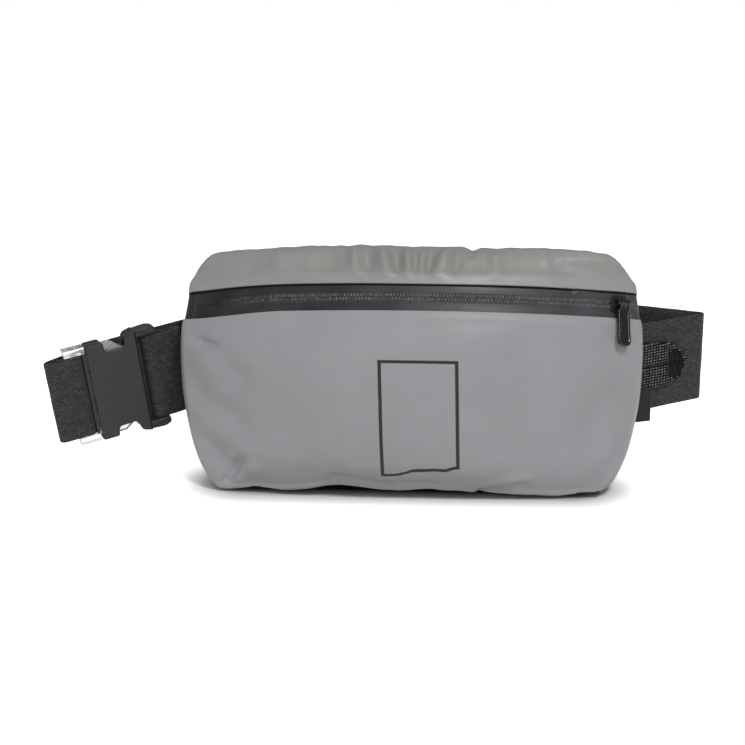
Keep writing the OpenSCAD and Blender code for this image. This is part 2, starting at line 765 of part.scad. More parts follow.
// Base with a bar for the belt, seats for the two arms and a middle guide
module plug_body() {
    inner = belt_w / 2 + plug_clear;
    plug_half = mouth_w / 2;
    base_t = 2 * web_bar_r + 2;
    rail_x = plug_bar_x - web_bar_r - rail_past;
    core = cavity_w / 2 - plug_clear;
    seat = root_r + 1.4;
    color(clear_plastic) buckle_place() difference() {
        union() {
            for (side = [-1, 1])
                translate([rail_x, -base_t / 2, side > 0 ? inner : -plug_half])
                    cube([-plug_clear - rail_x, base_t, plug_half - inner]);
            translate([rim_x, -base_t / 2, -plug_half]) cube([rim_w, base_t, 2 * plug_half]);
            translate([rim_x, -blade_t / 2, -core]) cube([root_x - root_r - rim_x - 0.2, blade_t, 2 * core]);
            translate([plug_bar_x, 0, -inner - 1]) cylinder(r = web_bar_r, h = 2 * inner + 2);
            translate([-1, -blade_t / 2, -guide_w / 2]) cube([guide_l + 1, blade_t, guide_w]);
            for (side = [-1, 1])
                translate([-1, -blade_t / 2, side * root_z - seat]) cube([root_x + 1, blade_t, 2 * seat]);
        }
        for (side = [-1, 1])
            translate([root_x, -base_t, side * root_z])
                rotate([-90, 0, 0]) cylinder(r = root_r + pivot_clear, h = 2 * base_t);
    }
}

// Adjuster: the right part is sewn round the middle bar, the left part slides behind it
module triglide() {
    inner = belt_w / 2 + plug_clear;
    plate = 2.4;
    low = adjuster_y - adjuster_bar_r - 0.5;
    high = end_bar_y + adjuster_bar_r + 0.3;
    reach = end_bar_x + adjuster_bar_r + 0.5;
    color(buckle_black) buckle_place() translate([adjuster, 0, 0]) union() {
        for (side = [-1, 1])
            translate([0, 0, side > 0 ? inner : -inner - plate]) linear_extrude(plate) polygon([
                [-2.5, low], [2.5, low], [reach, end_bar_y - adjuster_bar_r], [reach, high],
                [-reach, high], [-reach, end_bar_y - adjuster_bar_r]
            ]);
        translate([0, adjuster_y, -inner - 1]) cylinder(r = adjuster_bar_r, h = 2 * inner + 2);
        for (side = [-1, 1])
            translate([side * end_bar_x, end_bar_y, -inner - 1])
                cylinder(r = adjuster_bar_r, h = 2 * inner + 2);
    }
}

// Bartacks: short raised rows of stitches
tack_t = 0.5;
tack_l = 1.6;
module tack(height) {
    translate([-tack_l / 2, -tack_t, -height / 2]) cube([tack_l, tack_t, height]);
}

module bartack_wing() {
    tack_y = -wing_out - wing_t / 2 - sewn_gap;
    color(metal_black) on_right_strap() for (x = [wing_l * 0.2, wing_l * 0.55])
        translate([x, tack_y, 0]) tack(wing_h * 0.6);
}

module bartack_socket() {
    tack_y = -wrap_r - web_t / 2 - sewn_gap;
    color(metal_black) buckle_place() translate([socket_bar_x + 4, tack_y, 0]) tack(strap_w * 0.8);
}

module bartack_plug() {
    tack_y = -wrap_r - web_t / 2 - sewn_gap;
    color(metal_black) buckle_place() translate([plug_bar_x - 5, tack_y, 0]) tack(belt_w * 0.8);
}

module bartack_adjuster() {
    tack_y = adjuster_y - adjuster_wrap - web_t / 2 - sewn_gap;
    color(metal_black) buckle_place() translate([adjuster + loop_l / 2, tack_y, 0]) tack(belt_w * 0.8);
}

front_panel();
top_panel();
back_panel();
back_foam();
front_lining();
back_lining();
seam_binding();
zip_tape_upper();
zip_tape_lower();
zip_coil_upper();
zip_coil_lower();
zip_end_tab_left();
zip_end_tab_right();
zip_stop_left();
zip_stop_right();
zip_slider();
zip_pull();
wing_right();
side_label();
short_strap();
belt_left();
belt_right();
buckle_socket();
plug_body();
plug_prong_upper();
plug_prong_lower();
triglide();
bartack_wing();
bartack_socket();
bartack_plug();
bartack_adjuster();
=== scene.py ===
"""Belt bag: cloth, zip, webbing and buckle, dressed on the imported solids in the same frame."""

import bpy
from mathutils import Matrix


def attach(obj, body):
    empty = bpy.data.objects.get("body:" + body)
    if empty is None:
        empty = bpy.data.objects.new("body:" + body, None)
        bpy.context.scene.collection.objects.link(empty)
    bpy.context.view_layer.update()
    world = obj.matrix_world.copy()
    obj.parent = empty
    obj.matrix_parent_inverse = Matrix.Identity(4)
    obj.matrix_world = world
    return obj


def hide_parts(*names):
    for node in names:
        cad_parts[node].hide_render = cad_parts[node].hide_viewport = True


bl_info = {
    "name": "Belt bag",
    "version": (1, 0, 0),
    "blender": (4, 5, 0),
    "location": "View3D > Sidebar > Belt bag",
    "description": "Dresses the solids of a zipped belt bag with cloth, zip, webbing and buckle",
    "category": "Object",
}

import math
from functools import partial

import bmesh
import bpy
from bpy.props import FloatProperty, PointerProperty, StringProperty
from mathutils import Matrix, Vector, noise

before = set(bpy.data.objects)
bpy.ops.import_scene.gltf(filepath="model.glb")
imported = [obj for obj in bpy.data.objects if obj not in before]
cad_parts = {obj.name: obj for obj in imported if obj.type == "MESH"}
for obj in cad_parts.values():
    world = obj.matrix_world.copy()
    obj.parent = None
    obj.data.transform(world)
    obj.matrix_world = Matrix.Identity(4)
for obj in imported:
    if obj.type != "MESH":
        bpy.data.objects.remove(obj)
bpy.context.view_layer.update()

# lengths are in millimetres, apart from the stage's, which are in metres
MM = 0.001
# gap between cloth layers that lie on each other
LAYER_GAP = 0.3
# share of a row that is an arc, and how far the corner after it is pulled out
ARC_SHARE = 0.8
CORNER_PULL = 6.0
# coated cloth as it is drawn
CLOTH_T = 0.45
# gap between webbing and its bar, and beside webbing that slides
SEWN_GAP = 0.1
SLIP_GAP = 0.4
# step between the points of a belt's path
BELT_STEP = 0.9
# radius of the bars in the buckle and in the adjuster
WEB_BAR_R = 1.9
ADJUSTER_BAR_R = 1.3
# rim of the plug, and slot of the socket that the strap goes through
PLUG_RIM = 1.8
SOCKET_SLOT = 2.4
# slant of the coil's turns, length along the zip for each length across it
COIL_SLANT = 0.35
# scale of a wave texture whose lines are one unit apart
WAVE_SCALE = 0.314


def length(name, description, mm):
    """A length in the sidebar, in the scene's own unit."""
    return FloatProperty(name=name, description=description, default=mm * MM, min=0.0, unit="LENGTH")


def angle(name, description, degrees):
    """An angle in the sidebar."""
    return FloatProperty(name=name, description=description, default=math.radians(degrees), unit="ROTATION")


def colour(name, description, code):
    """An sRGB hex value in the sidebar."""
    return StringProperty(name=name, description=description, default=code, maxlen=7)


class BagSizes(bpy.types.PropertyGroup):
    bag_w: length("Width", "Width across the side seams", 219)
    bag_h: length("Height", "Height of the top ridge", 116)
    belly_d: length("Belly depth", "Depth of the belly in front of the seam plane", 54)
    belly_z: length("Belly height", "Height of the fullest part of the belly", 42)
    base_d: length("Bottom depth", "Depth of the flat bottom", 36)
    base_w: length("Bottom width", "Width of the flat bottom along its front edge", 172)
    fabric_t: length("Hem", "Thickness of the folded coated fabric", 1)
    back_t: length("Back", "Thickness of the spacer mesh back", 4)
    foam_t: length("Foam", "Thickness of the foam sheet", 3)
    print_x: length("Frame middle", "Middle of the printed frame, to the right of the bag's middle", 5.7)
    print_w: length("Frame width", "Width of the printed frame", 36.6)
    print_top: length("Frame top", "Height of the printed frame's upper edge", 69.6)
    print_bottom: length("Frame bottom", "Height of the printed frame's lower edge", 13.6)
    print_line: length("Frame line", "Width of the printed line", 1.4)


class ZipSizes(bpy.types.PropertyGroup):
    zip_radius: length("Radius", "Radius of the zip's arc", 200)
    zip_lean: angle("Lean", "Lean of the plane of the arc", 16.5)
    tape_lean: angle("Tape lean", "Lean of the tape at its middle", 32)
    zip_z: length("Height", "Height of the zip at its middle", 96)
    zip_d: length("Depth", "Depth of the zip's middle in front of the seam plane", 41.5)
    zip_show: length("Tape that shows", "Width of tape between the panels", 14.5)
    tape_allow: length("Seam allowance", "Tape width that is sewn under a panel", 3)
    tape_t: length("Tape", "Thickness of a tape", 0.8)
    coil_pitch: length("Coil pitch", "Length of one turn of the coil", 1.5)
    slider_l: length("Slider", "Length of the slider", 10)
    pull_w: length("Pull width", "Width of the pull", 6.4)
    pull_l: length("Pull length", "Length of the pull below its bar", 21.5)
    pull_swing: angle("Pull swing", "How far the pull is swung out by the belly", 13)
    pull_t: length("Pull thickness", "Thickness of the pull", 2)


class BeltSizes(bpy.types.PropertyGroup):
    belt_w: length("Belt", "Width of the belt webbing", 41)
    strap_w: length("Short strap", "Width of the strap that holds the socket", 43)
    web_t: length("Webbing", "Thickness of the webbing", 1.4)
    belt_z: length("Height", "Height of the belt at the side seams", 53)
    right_yaw: angle("Right turn", "Turn of the right strap away from the viewer", 25)
    right_rise: angle("Right rise", "Rise of the right strap towards its fold", 5)
    fold_reach: length("Right fold", "How far the right fold stands out from the seam", 35)
    rear_d: length("Rear", "How far the rear of the belt hangs behind the seam plane", 25)
    wing_l: length("Wing length", "Length of the mesh wing", 27.5)
    wing_h: length("Wing height", "Height of the mesh wing at the seam", 25)
    wing_t: length("Wing", "Thickness of the mesh wing", 2.4)
    label_l: length("Label length", "Length of the folded side label", 9)
    label_h: length("Label height", "Height of the side label", 17)
    tail_l: length("Loose end", "Length of the loose end past the adjuster", 32)
    buckle_yaw: angle("Left turn", "Turn of the left strap towards the viewer", 29.5)
    buckle_rise: angle("Left rise", "Rise of the left strap towards the bag", 9.5)
    buckle_lean: angle("Buckle lean", "Lean of the buckle's upper edge to the viewer", 5)
    strap_reach: length("Reach", "Distance from the left seam to the socket's mouth", 49)
    socket_l: length("Socket length", "Length of the socket's closed body", 25)
    socket_t: length("Socket depth", "Thickness of the socket's body", 9.5)
    adjuster_x: length("Adjuster", "Distance of the adjuster past the left seam", 23)


class Finishes(bpy.types.PropertyGroup):
    fabric: colour("Front", "Colour of the coated front", "#929295")
    # painted shade: the top colour is the same cloth drawn darker and a little browner, as it looks at the
    # ridge in this light
    top: colour("Top", "Colour of the coated cloth at the ridge, a little browner", "#898885")
    ink: colour("Ink", "Colour of the printed frame", "#0e0e0f")
    tape: colour("Zip tape", "Colour of the coated tape", "#363437")
    webbing: colour("Webbing", "Colour of the belt's yarn", "#2a282a")
    mesh: colour("Mesh", "Colour of the spacer mesh", "#161516")
    socket: colour("Buckle", "Colour of the moulded socket and adjuster", "#2f2d30")
    clear: colour("Clear plug", "Colour of the clear moulding", "#eff1f1")
    lacquer: colour("Lacquer", "Colour of the slider and pull", "#131314")
    lining: colour("Lining", "Colour of the lining cloth", "#6d6f72")
    thread: colour("Thread", "Colour of the stitches", "#1a191a")


def curve_at(rows, v):
    """A point of the smooth curve through a list of number lists."""
    i = min(int(v), len(rows) - 2)
    t = v - i
    ring = [rows[max(0, min(len(rows) - 1, i + k))] for k in (-1, 0, 1, 2)]
    return [
        0.5 * (2 * b + (c - a) * t + (2 * a - 5 * b + 4 * c - d) * t * t + (3 * b - a - 3 * c + d) * t**3)
        for a, b, c, d in zip(*ring)
    ]


def fade(x, low, high):
    """0 at low, 1 at high, smooth between."""
    t = max(0.0, min(1.0, (x - low) / (high - low)))
    return t * t * (3 - 2 * t)


def near_line(x, z, line):
    """1 on a line [x0, z0, x1, z1, width], falling to 0 a few widths away."""
    x0, z0, x1, z1, width = line
    dx, dz = x1 - x0, z1 - z0
    t = max(0.0, min(1.0, ((x - x0) * dx + (z - z0) * dz) / (dx * dx + dz * dz)))
    away = math.hypot(x - x0 - t * dx, z - z0 - t * dz) / width
    return math.exp(-away * away)


class BagShape:
    """The bag's own curves in millimetres, from the sizes in the sidebar."""

    def __init__(self, scene):
        for group in (scene.bag_sizes, scene.zip_sizes, scene.belt_sizes):
            for key in type(group).__annotations__:
                value = getattr(group, key)
                is_length = group.bl_rna.properties[key].unit == "LENGTH"
                setattr(self, key, value / MM if is_length else value)
        self.half_w = self.bag_w / 2
        self.seam_y = self.base_d / 2
        self.back_y = self.seam_y + LAYER_GAP
        self.half_show = self.zip_show / 2
        self.proud = self.tape_t / 2 + LAYER_GAP + self.fabric_t
        self.cone = self.tape_lean - self.zip_lean
        self.axis_up = Vector((0, math.sin(self.zip_lean), math.cos(self.zip_lean)))
        self.axis_back = Vector((0, math.cos(self.zip_lean), -math.sin(self.zip_lean)))
        middle = Vector((0, self.seam_y - self.zip_d, self.zip_z))
        self.zip_centre = middle + self.zip_radius * self.axis_back
        # the zip's arc ends before the side seams, with the stops on it and the closed slider against one
        self.zip_end = math.asin((self.half_w - 5) / self.zip_radius)
        self.zip_seam_x = self.half_w - 2.5
        self.stop_turn = self.zip_end - 2 / self.zip_radius
        self.slider_turn = self.stop_turn - (1 + self.slider_l / 2 + 0.5) / self.zip_radius
        self.front_rows = self.make_front_rows()
        self.top_rows = self.make_top_rows()
        # bars that the webbing is looped round, and the run of the belt behind the buckle
        self.wrap_r = WEB_BAR_R + SEWN_GAP + self.web_t / 2
        self.rear_line = self.socket_t / 2 + self.web_t / 2 + 5
        self.plug_bar_x = -PLUG_RIM - LAYER_GAP - self.web_t - SEWN_GAP - WEB_BAR_R
        self.socket_bar_x = self.socket_l + SOCKET_SLOT + self.web_t + SEWN_GAP + WEB_BAR_R
        self.adjuster = self.strap_reach + self.adjuster_x
        self.adjuster_wrap = ADJUSTER_BAR_R + SEWN_GAP + self.web_t / 2
        self.adjuster_y = self.rear_line - self.adjuster_wrap - self.web_t - SLIP_GAP

    def band_r(self, up, out):
        """Distance from the arc's axis: up along the tape, out along its normal."""
        return self.zip_radius - up * math.sin(self.cone) + out * math.cos(self.cone)

    def band_h(self, up, out):
        """Height along the arc's axis, for the same up and out."""
        return up * math.cos(self.cone) + out * math.sin(self.cone)

    def zip_point(self, turn, r, h):
        """A point of the zip's circle family: radius r, height h along the axis."""
        side = Vector((r * math.sin(turn), 0, 0))
        return self.zip_centre + side - r * math.cos(turn) * self.axis_back + h * self.axis_up

    def on_tape(self, turn, up, out):
        """A point on the tape: up along it, out along its normal."""
        return self.zip_point(turn, self.band_r(up, out), self.band_h(up, out))

    def zip_row(self, r, h, seam_x, seam_z):
        """The row that follows a circle of the zip and then turns to the side seam."""
        middle, end = self.zip_point(0, r, h), self.zip_point(self.zip_end, r, h)
        return [middle.y, middle.z, end.x, end.y, end.z, seam_x, seam_z]

    def tape_row(self, up, out, seam_x, seam_z):
        """The row that follows the tape and then turns to the side seam."""
        return self.zip_row(self.band_r(up, out), self.band_h(up, out), seam_x, seam_z)

    def make_front_rows(self):
        """Rows [middle y, z, arc end x, y, z, seam x, z] from the zip down and under to the back seam."""
        w, z, base, front = self.half_w, self.belly_z, self.base_w / 2, -self.base_d / 2
        belly, seam = self.seam_y - self.belly_d, self.seam_y
        low = -self.half_show
        hem = low - self.tape_allow - 1.5
        return [
            self.tape_row(low, self.proud, self.zip_seam_x, self.zip_z - 17),
            self.tape_row(hem, self.proud, w - 1.8, self.zip_z - 21),
            self.zip_row(self.band_r(hem, self.proud), self.band_h(low, 0) - 18, w - 0.5, self.zip_z - 36),
            [belly, z, w - 3.5, seam - 24, z, w, z - 1],
            [belly + 3, z - 23, w - 9, seam - 29, z - 23, w - 3.5, z - 23],
            [front - 7, 5, base + 7, front + 3, 5, base + 14, 6.5],
            [front, 0, base, front + 5, 0, base + 9, 3],
            [seam, 0, base - 4, seam, 0, base + 3, 0],
        ]

    def make_top_rows(self):
        """Rows from the back seam over the ridge to the zip."""
        w, h, seam = self.half_w, self.bag_h, self.seam_y
        up = self.half_show
        hem = up + self.tape_allow + 1.5
        return [
            [seam, h - 4.5, w - 24, seam, h - 7.5, w - 16, h - 10],
            [seam - 6, h - 1, w - 22, seam - 4, h - 5, w - 12.5, h - 12],
            [seam - 15, h, w - 17, seam - 9, h - 5, w - 9, h - 15],
            [seam - 24, h - 2, w - 12.5, seam - 12, h - 9, w - 6.5, h - 18.5],
            [seam - 32, h - 7, w - 8.5, seam - 9.5, h - 14.5, w - 4, h - 21],
            self.tape_row(hem, self.proud, w - 3, self.zip_z - 3.5),
            self.tape_row(up, self.proud, self.zip_seam_x, self.zip_z - 5),
        ]

    def on_row(self, row, across):
        """A point of a row and its distance along the row from the middle; across runs from -1 to 1."""
        mid_y, mid_z, end_x, end_y, end_z, seam_x, seam_z = row
        sag = max(math.hypot(end_y - mid_y, end_z - mid_z), 0.01)
        way_y, way_z = (end_y - mid_y) / sag, (end_z - mid_z) / sag
        radius = (end_x * end_x + sag * sag) / (2 * sag)
        share = abs(across)
        side = math.copysign(1, across)
        x = end_x * min(1, share / ARC_SHARE)
        dip = radius - math.sqrt(radius * radius - x * x)
        point = Vector((x, mid_y + way_y * dip, mid_z + way_z * dip))
        run = radius * math.asin(x / radius)
        if share > ARC_SHARE:
            turn = math.asin(end_x / radius)
            out = Vector((math.cos(turn), way_y * math.sin(turn), way_z * math.sin(turn)))
            bend = point + CORNER_PULL * out
            seam = Vector((seam_x, self.seam_y, seam_z))
            t = (share - ARC_SHARE) / (1 - ARC_SHARE)
            run += t * ((bend - point).length + (seam - bend).length)
            point = (1 - t) ** 2 * point + 2 * t * (1 - t) * bend + t * t * seam
        return Vector((side * point.x, point.y, max(0.0, point.z))), side * run

    def down_to(self, z):
        """Length down the front's middle from the zip's edge to this height."""
        walked, last = 0.0, None
        for k in range(701):
            point = self.on_row(curve_at(self.front_rows, k / 100), 0)[0]
            walked += (point - last).length if last else 0
            last = point
            if point.z <= z:
                return walked
        return walked

    def settle(self, p):
        """The slack bag's hang: the zip's left end sags, the ridge dips, the bottom's front edge lifts."""
        sag = 2.6 * fade(-p.x, 55, 108) * math.exp(-(((p.z - 86) / 13) ** 2))
        knots = [[0], [0], [1.4], [3.4], [3.8], [3.4], [2.8], [0.8], [0], [0]]
        rise = max(0.0, curve_at(knots, max(0.0, min(9.0, (p.x + self.half_w) / self.bag_w * 9)))[0])
        rise *= 1 + 0.3 * math.sin(p.x / 8)
        rise *= fade(20 - p.z, 0, 17) * fade(12 - p.y, 0, 24)
        crown = 2.0 * math.exp(-(((p.x - 80) / 20) ** 2)) - math.exp(-(((p.x - 12) / 34) ** 2))
        crown *= fade(p.z, 98, 110) * fade(self.seam_y - p.y, 2, 12)
        return p + Vector((0, 0, rise + crown - sag))

    def seam_edge(self):
        """Right edge of the back, [x, z] from the bottom corner to the top corner."""
        steps = [k / 6 for k in range(43)]
        rows = [curve_at(self.front_rows, v) for v in reversed(steps)]
        rows += [curve_at(self.top_rows, v) for v in reversed(steps[:37])]
        return [(row[5], max(0.0, row[6])) for row in rows]

    def zip_place(self, turn):
        """Places a piece on the zip: x along the tape, -y out of it, z up it."""
        return (
            Matrix.Translation(self.zip_centre)
            @ Matrix.Rotation(-self.zip_lean, 4, "X")
            @ Matrix.Rotation(turn, 4, "Z")
            @ Matrix.Translation((0, -self.zip_radius, 0))
            @ Matrix.Rotation(-self.cone, 4, "X")
        )

    def buckle_place(self):
        """Places the left strap: x to the bag from the socket's mouth, y away from the viewer, z across."""
        return (
            Matrix.Translation((-self.half_w - 1, self.seam_y, self.belt_z))
            @ Matrix.Rotation(self.buckle_yaw, 4, "Z")
            @ Matrix.Rotation(-self.buckle_rise, 4, "Y")
            @ Matrix.Rotation(self.buckle_lean, 4, "X")
            @ Matrix.Translation((-self.strap_reach, 0, 0))
        )

    def right_root(self):
        """Where the right strap leaves the side seam."""
        return Vector((self.half_w + 1, self.back_y + self.back_t / 2 + 1.6, self.belt_z + 1))

    def right_place(self):
        """Places what lies on the right strap: x out along it, y away from the viewer, z across."""
        return (
            Matrix.Translation(self.right_root())
            @ Matrix.Rotation(self.right_yaw, 4, "Z")
            @ Matrix.Rotation(-self.right_rise, 4, "Y")
        )


def linear(code):
    """Linear colour with alpha from an sRGB hex value."""
    parts = [int(code[i : i + 2], 16) / 255 for i in (1, 3, 5)]
    return (*[c / 12.92 if c <= 0.04045 else ((c + 0.055) / 1.055) ** 2.4 for c in parts], 1.0)


def shade(code, factor):
    """The same colour, lighter or darker."""
    return (*[min(1.0, c * factor) for c in linear(code)[:3]], 1.0)


def add_node(tree, kind, inputs=None, **settings):
    """Adds a node and gives its outputs; an input is a value or the socket that feeds it."""
    node = tree.nodes.new("ShaderNode" + kind)
    for key, value in settings.items():
        setattr(node, key, value)
    for key, value in (inputs or {}).items():
        if isinstance(value, bpy.types.NodeSocket):
            tree.links.new(value, node.inputs[key])
        else:
            node.inputs[key].default_value = value
    return node.outputs


def new_material(name, constants):
    """A material with a Principled shader, constants on its sockets, and the call that adds its nodes."""
    material = bpy.data.materials.new(name)
    material.use_nodes = True
    tree = material.node_tree
    for key, value in constants.items():
        tree.nodes["Principled BSDF"].inputs[key].default_value = value
    return material, partial(add_node, tree)


def feed_shader(material, feeds):
    """Links what feeds the shader's sockets, and gives the material."""
    tree = material.node_tree
    for key, socket in feeds.items():
        tree.links.new(socket, tree.nodes["Principled BSDF"].inputs[key])
    return material


def coated_polyester(shape, finish, name, gloss):
    """Polyester cloth with a rolled-on pigmented coat: satin, mottled, crinkled, with one printed frame."""
    material, add = new_material(name, {"IOR": 1.48, "Specular IOR Level": gloss})
    place = add("TexCoord")
    mottle = add("TexNoise", {"Vector": place["Object"], "Scale": 1 / (38 * MM), "Detail": 3})
    front_and_shaded_top_tints = [
        add("Mix", {0: mottle["Fac"], 6: shade(code, 0.9), 7: shade(code, 1.1)}, data_type="RGBA")
        for code in (finish.fabric, finish.top)
    ]
    # painted shade: the cloth is drawn darker and browner towards the ridge, as the same cloth looks there
    # in this light
    spot = add("SeparateXYZ", {0: place["Object"]})
    high = shape.bag_h * MM
    ridge = add("MapRange", {"Value": spot["Z"], 1: high - 22 * MM, 2: high - 8 * MM, 3: 0.0, 4: 1.0})
    cloth = add("Mix", {0: ridge[0], 6: front_and_shaded_top_tints[0][2], 7: front_and_shaded_top_tints[1][2]}, data_type="RGBA")
    uv = add("SeparateXYZ", {0: place["UV"]})
    # the lower line wavers and slopes with the cloth
    waver = add("TexNoise", {"W": uv["X"], "Scale": 1 / (16 * MM), "Detail": 1}, noise_dimensions="1D")
    top, bottom = shape.down_to(shape.print_top) * MM, shape.down_to(shape.print_bottom) * MM
    line = shape.print_line / 2 * MM
    low = add("MapRange", {"Value": uv["Y"], 1: bottom - 26 * MM, 2: bottom - 4 * MM, 3: 0.0, 4: 5.6 * MM})
    slope = add("Math", {0: uv["X"], 1: 26.0}, operation="MULTIPLY")
    sway = add("Math", {0: waver["Fac"], 1: 0.62}, operation="SUBTRACT")
    sway = add("Math", {0: sway[0], 1: slope[0]}, operation="ADD")
    shift = add("Math", {0: sway[0], 1: low[0]}, operation="MULTIPLY")
    down = add("Math", {0: uv["Y"], 1: shift[0]}, operation="ADD")
    # the cloth is pulled over to one side, so the frame leans
    lean = 0.026
    middle = shape.print_x * MM - lean * (top + bottom) / 2
    side = add("Math", {0: uv["Y"], 1: -lean, 2: uv["X"]}, operation="MULTIPLY_ADD")
    side = add("Math", {0: side[0], 1: middle}, operation="SUBTRACT")
    side = add("Math", {0: side[0]}, operation="ABSOLUTE")
    side = add("Math", {0: side[0], 1: shape.print_w / 2 * MM}, operation="SUBTRACT")
    # the side lines are a little broader than the upper one
    side = add("Math", {0: side[0], 1: 0.86}, operation="MULTIPLY")
    tall = add("Math", {0: down[0], 1: (top + bottom) / 2}, operation="SUBTRACT")
    below = add("Math", {0: tall[0], 1: (bottom - top) / 2}, operation="SUBTRACT")
    # the lower line is drawn broader, because the cloth turns under there
    below = add("Math", {0: below[0], 1: 0.6}, operation="MULTIPLY")
    above = add("Math", {0: (top - bottom) / 2, 1: tall[0]}, operation="SUBTRACT")
    tall = add("Math", {0: below[0], 1: above[0]}, operation="MAXIMUM")
    rim = add("Math", {0: side[0], 1: tall[0]}, operation="MAXIMUM")
    rim = add("Math", {0: rim[0], 1: line}, operation="ADD")
    rim = add("Math", {0: rim[0]}, operation="ABSOLUTE")
    ink = add("MapRange", {"Value": rim[0], 1: line - 0.12 * MM, 2: line + 0.12 * MM, 3: 1.0, 4: 0.0})
    base = add("Mix", {0: ink[0], 6: cloth[2], 7: linear(finish.ink)}, data_type="RGBA")
    crinkle = add(
        "TexNoise", {"Vector": place["Object"], "Scale": 1 / (7 * MM), "Detail": 5, "Roughness": 0.55}
    )
    # threads of about 0.25 mm, drawn at 0.8 mm so that they show
    warp = add("TexWave", {"Vector": place["UV"], "Scale": WAVE_SCALE / (0.8 * MM)}, bands_direction="X")
    weft = add("TexWave", {"Vector": place["UV"], "Scale": WAVE_SCALE / (0.8 * MM)}, bands_direction="Y")
    weave = add("Math", {0: warp["Fac"], 1: weft["Fac"]}, operation="MULTIPLY")
    fine = add("Bump", {"Height": weave[0], "Strength": 0.12, "Distance": 0.1 * MM})
    relief = add(
        "Bump", {"Height": crinkle["Fac"], "Strength": 0.35, "Distance": 0.5 * MM, "Normal": fine[0]}
    )
    satin = add("MapRange", {"Value": crinkle["Fac"], 1: 0.3, 2: 0.7, 3: 0.4, 4: 0.5})
    return feed_shader(material, {"Base Color": base[2], "Roughness": satin[0], "Normal": relief[0]})


def coated_reverse():
    """The uncoated inner side of the cloth: dark, dull and plain woven; under the rolled hems its black
    also stands in as painted shade beneath the folded edge.
    """
    material, add = new_material("coated polyester reverse", {"Roughness": 0.85, "IOR": 1.5})
    place = add("TexCoord")
    weave = add("TexNoise", {"Vector": place["Object"], "Scale": 1 / (0.9 * MM), "Detail": 2})
    tone = add("Mix", {0: weave["Fac"], 6: linear("#0c0c0d"), 7: linear("#232324")}, data_type="RGBA")
    return feed_shader(material, {"Base Color": tone[2]})


def laminated_tape(shape, finish):
    """Zip tape under a polyurethane film: charcoal, satin, with painted highlights over the coil and a
    painted black shadow along the upper seam.
    """
    material, add = new_material("laminated zip tape", {"IOR": 1.5, "Specular IOR Level": 0.26})
    place = add("TexCoord")
    cloud = add("TexNoise", {"Vector": place["Object"], "Scale": 1 / (14 * MM), "Detail": 3})
    uv = add("SeparateXYZ", {0: place["UV"]})
    # painted light: the film is drawn paler towards the slider end and darker at its left end, as light
    # falls along the tape
    painted_light_along = add("MapRange", {"Value": uv["X"], 1: -96 * MM, 2: 100 * MM, 3: -0.42, 4: 0.36})
    painted_light_along = add("Math", {0: cloud["Fac"], 1: painted_light_along[0]}, operation="ADD")
    tone = add(
        "Mix", {0: painted_light_along[0], 6: shade(finish.tape, 0.4), 7: shade(finish.tape, 1.7)}, data_type="RGBA"
    )
    off = add("Math", {0: uv["Y"]}, operation="ABSOLUTE")
    # one painted highlight for each turn of the coil where the film rides over it, slanted both ways from
    # the middle
    turn = 2 * math.pi / (shape.coil_pitch * MM)
    slant = add("Math", {0: off[0], 1: COIL_SLANT}, operation="MULTIPLY")
    lower = add("Math", {0: uv["Y"], 1: 0.0}, operation="LESS_THAN")
    step = add("Math", {0: lower[0], 1: shape.coil_pitch / 2 * MM}, operation="MULTIPLY")
    run = add("Math", {0: uv["X"], 1: slant[0]}, operation="ADD")
    run = add("Math", {0: run[0], 1: step[0]}, operation="ADD")
    run = add("Math", {0: run[0], 1: turn}, operation="MULTIPLY")
    painted_highlights = add("Math", {0: run[0]}, operation="COSINE")
    painted_highlights = add("MapRange", {"Value": painted_highlights[0], 1: 0.2, 2: 0.95, 3: 0.0, 4: 1.0})
    inner = add("MapRange", {"Value": off[0], 1: 0.2 * MM, 2: 0.6 * MM, 3: 0.0, 4: 1.0})
    outer = add("MapRange", {"Value": off[0], 1: 1.2 * MM, 2: 1.8 * MM, 3: 1.0, 4: 0.0})
    speck = add("TexNoise", {"Vector": place["UV"], "Scale": 1 / (1.6 * MM), "Detail": 2})
    speckled = add("MapRange", {"Value": speck["Fac"], 1: 0.38, 2: 0.6, 3: 0.05, 4: 1.0})
    live = add("MapRange", {"Value": uv["X"], 1: -92 * MM, 2: -66 * MM, 3: 0.0, 4: 1.0})
    for part in (inner, outer, speckled, live):
        painted_highlights = add("Math", {0: painted_highlights[0], 1: part[0]}, operation="MULTIPLY")
    with_painted_highlights = add("Mix", {0: painted_highlights[0], 6: tone[2], 7: shade(finish.tape, 3.4)}, data_type="RGBA")
    # painted shadow: a black, dull strip along the upper seam stands for the shade under the top panel's
    # hem
    sewn = shape.half_show * MM
    edge = add("MapRange", {"Value": uv["Y"], 1: sewn - 1.75 * MM, 2: sewn - 1.55 * MM, 3: 0.0, 4: 1.0})
    base = add("Mix", {0: edge[0], 6: with_painted_highlights[2], 7: linear("#050505")}, data_type="RGBA")
    lines = add("TexWave", {"Vector": place["UV"], "Scale": WAVE_SCALE / (0.7 * MM)}, bands_direction="Y")
    relief = add("Bump", {"Height": lines["Fac"], "Strength": 0.1, "Distance": 0.1 * MM})
    satin = add("MapRange", {"Value": cloud["Fac"], 1: 0.3, 2: 0.7, 3: 0.36, 4: 0.48})
    dull = add("Math", {0: satin[0], 1: edge[0]}, operation="MAXIMUM")
    return feed_shader(material, {"Base Color": base[2], "Roughness": dull[0], "Normal": relief[0]})


def nylon_coil():
    """Drawn nylon wire, bent into a coil: near black, half gloss."""
    material, add = new_material("nylon coil", {"Roughness": 0.35, "IOR": 1.53})
    place = add("TexCoord")
    streak = add("TexNoise", {"Vector": place["Object"], "Scale": 1 / (2 * MM), "Detail": 2})
    tone = add("Mix", {0: streak["Fac"], 6: linear("#171718"), 7: linear("#2b2a2b")}, data_type="RGBA")
    return feed_shader(material, {"Base Color": tone[2]})


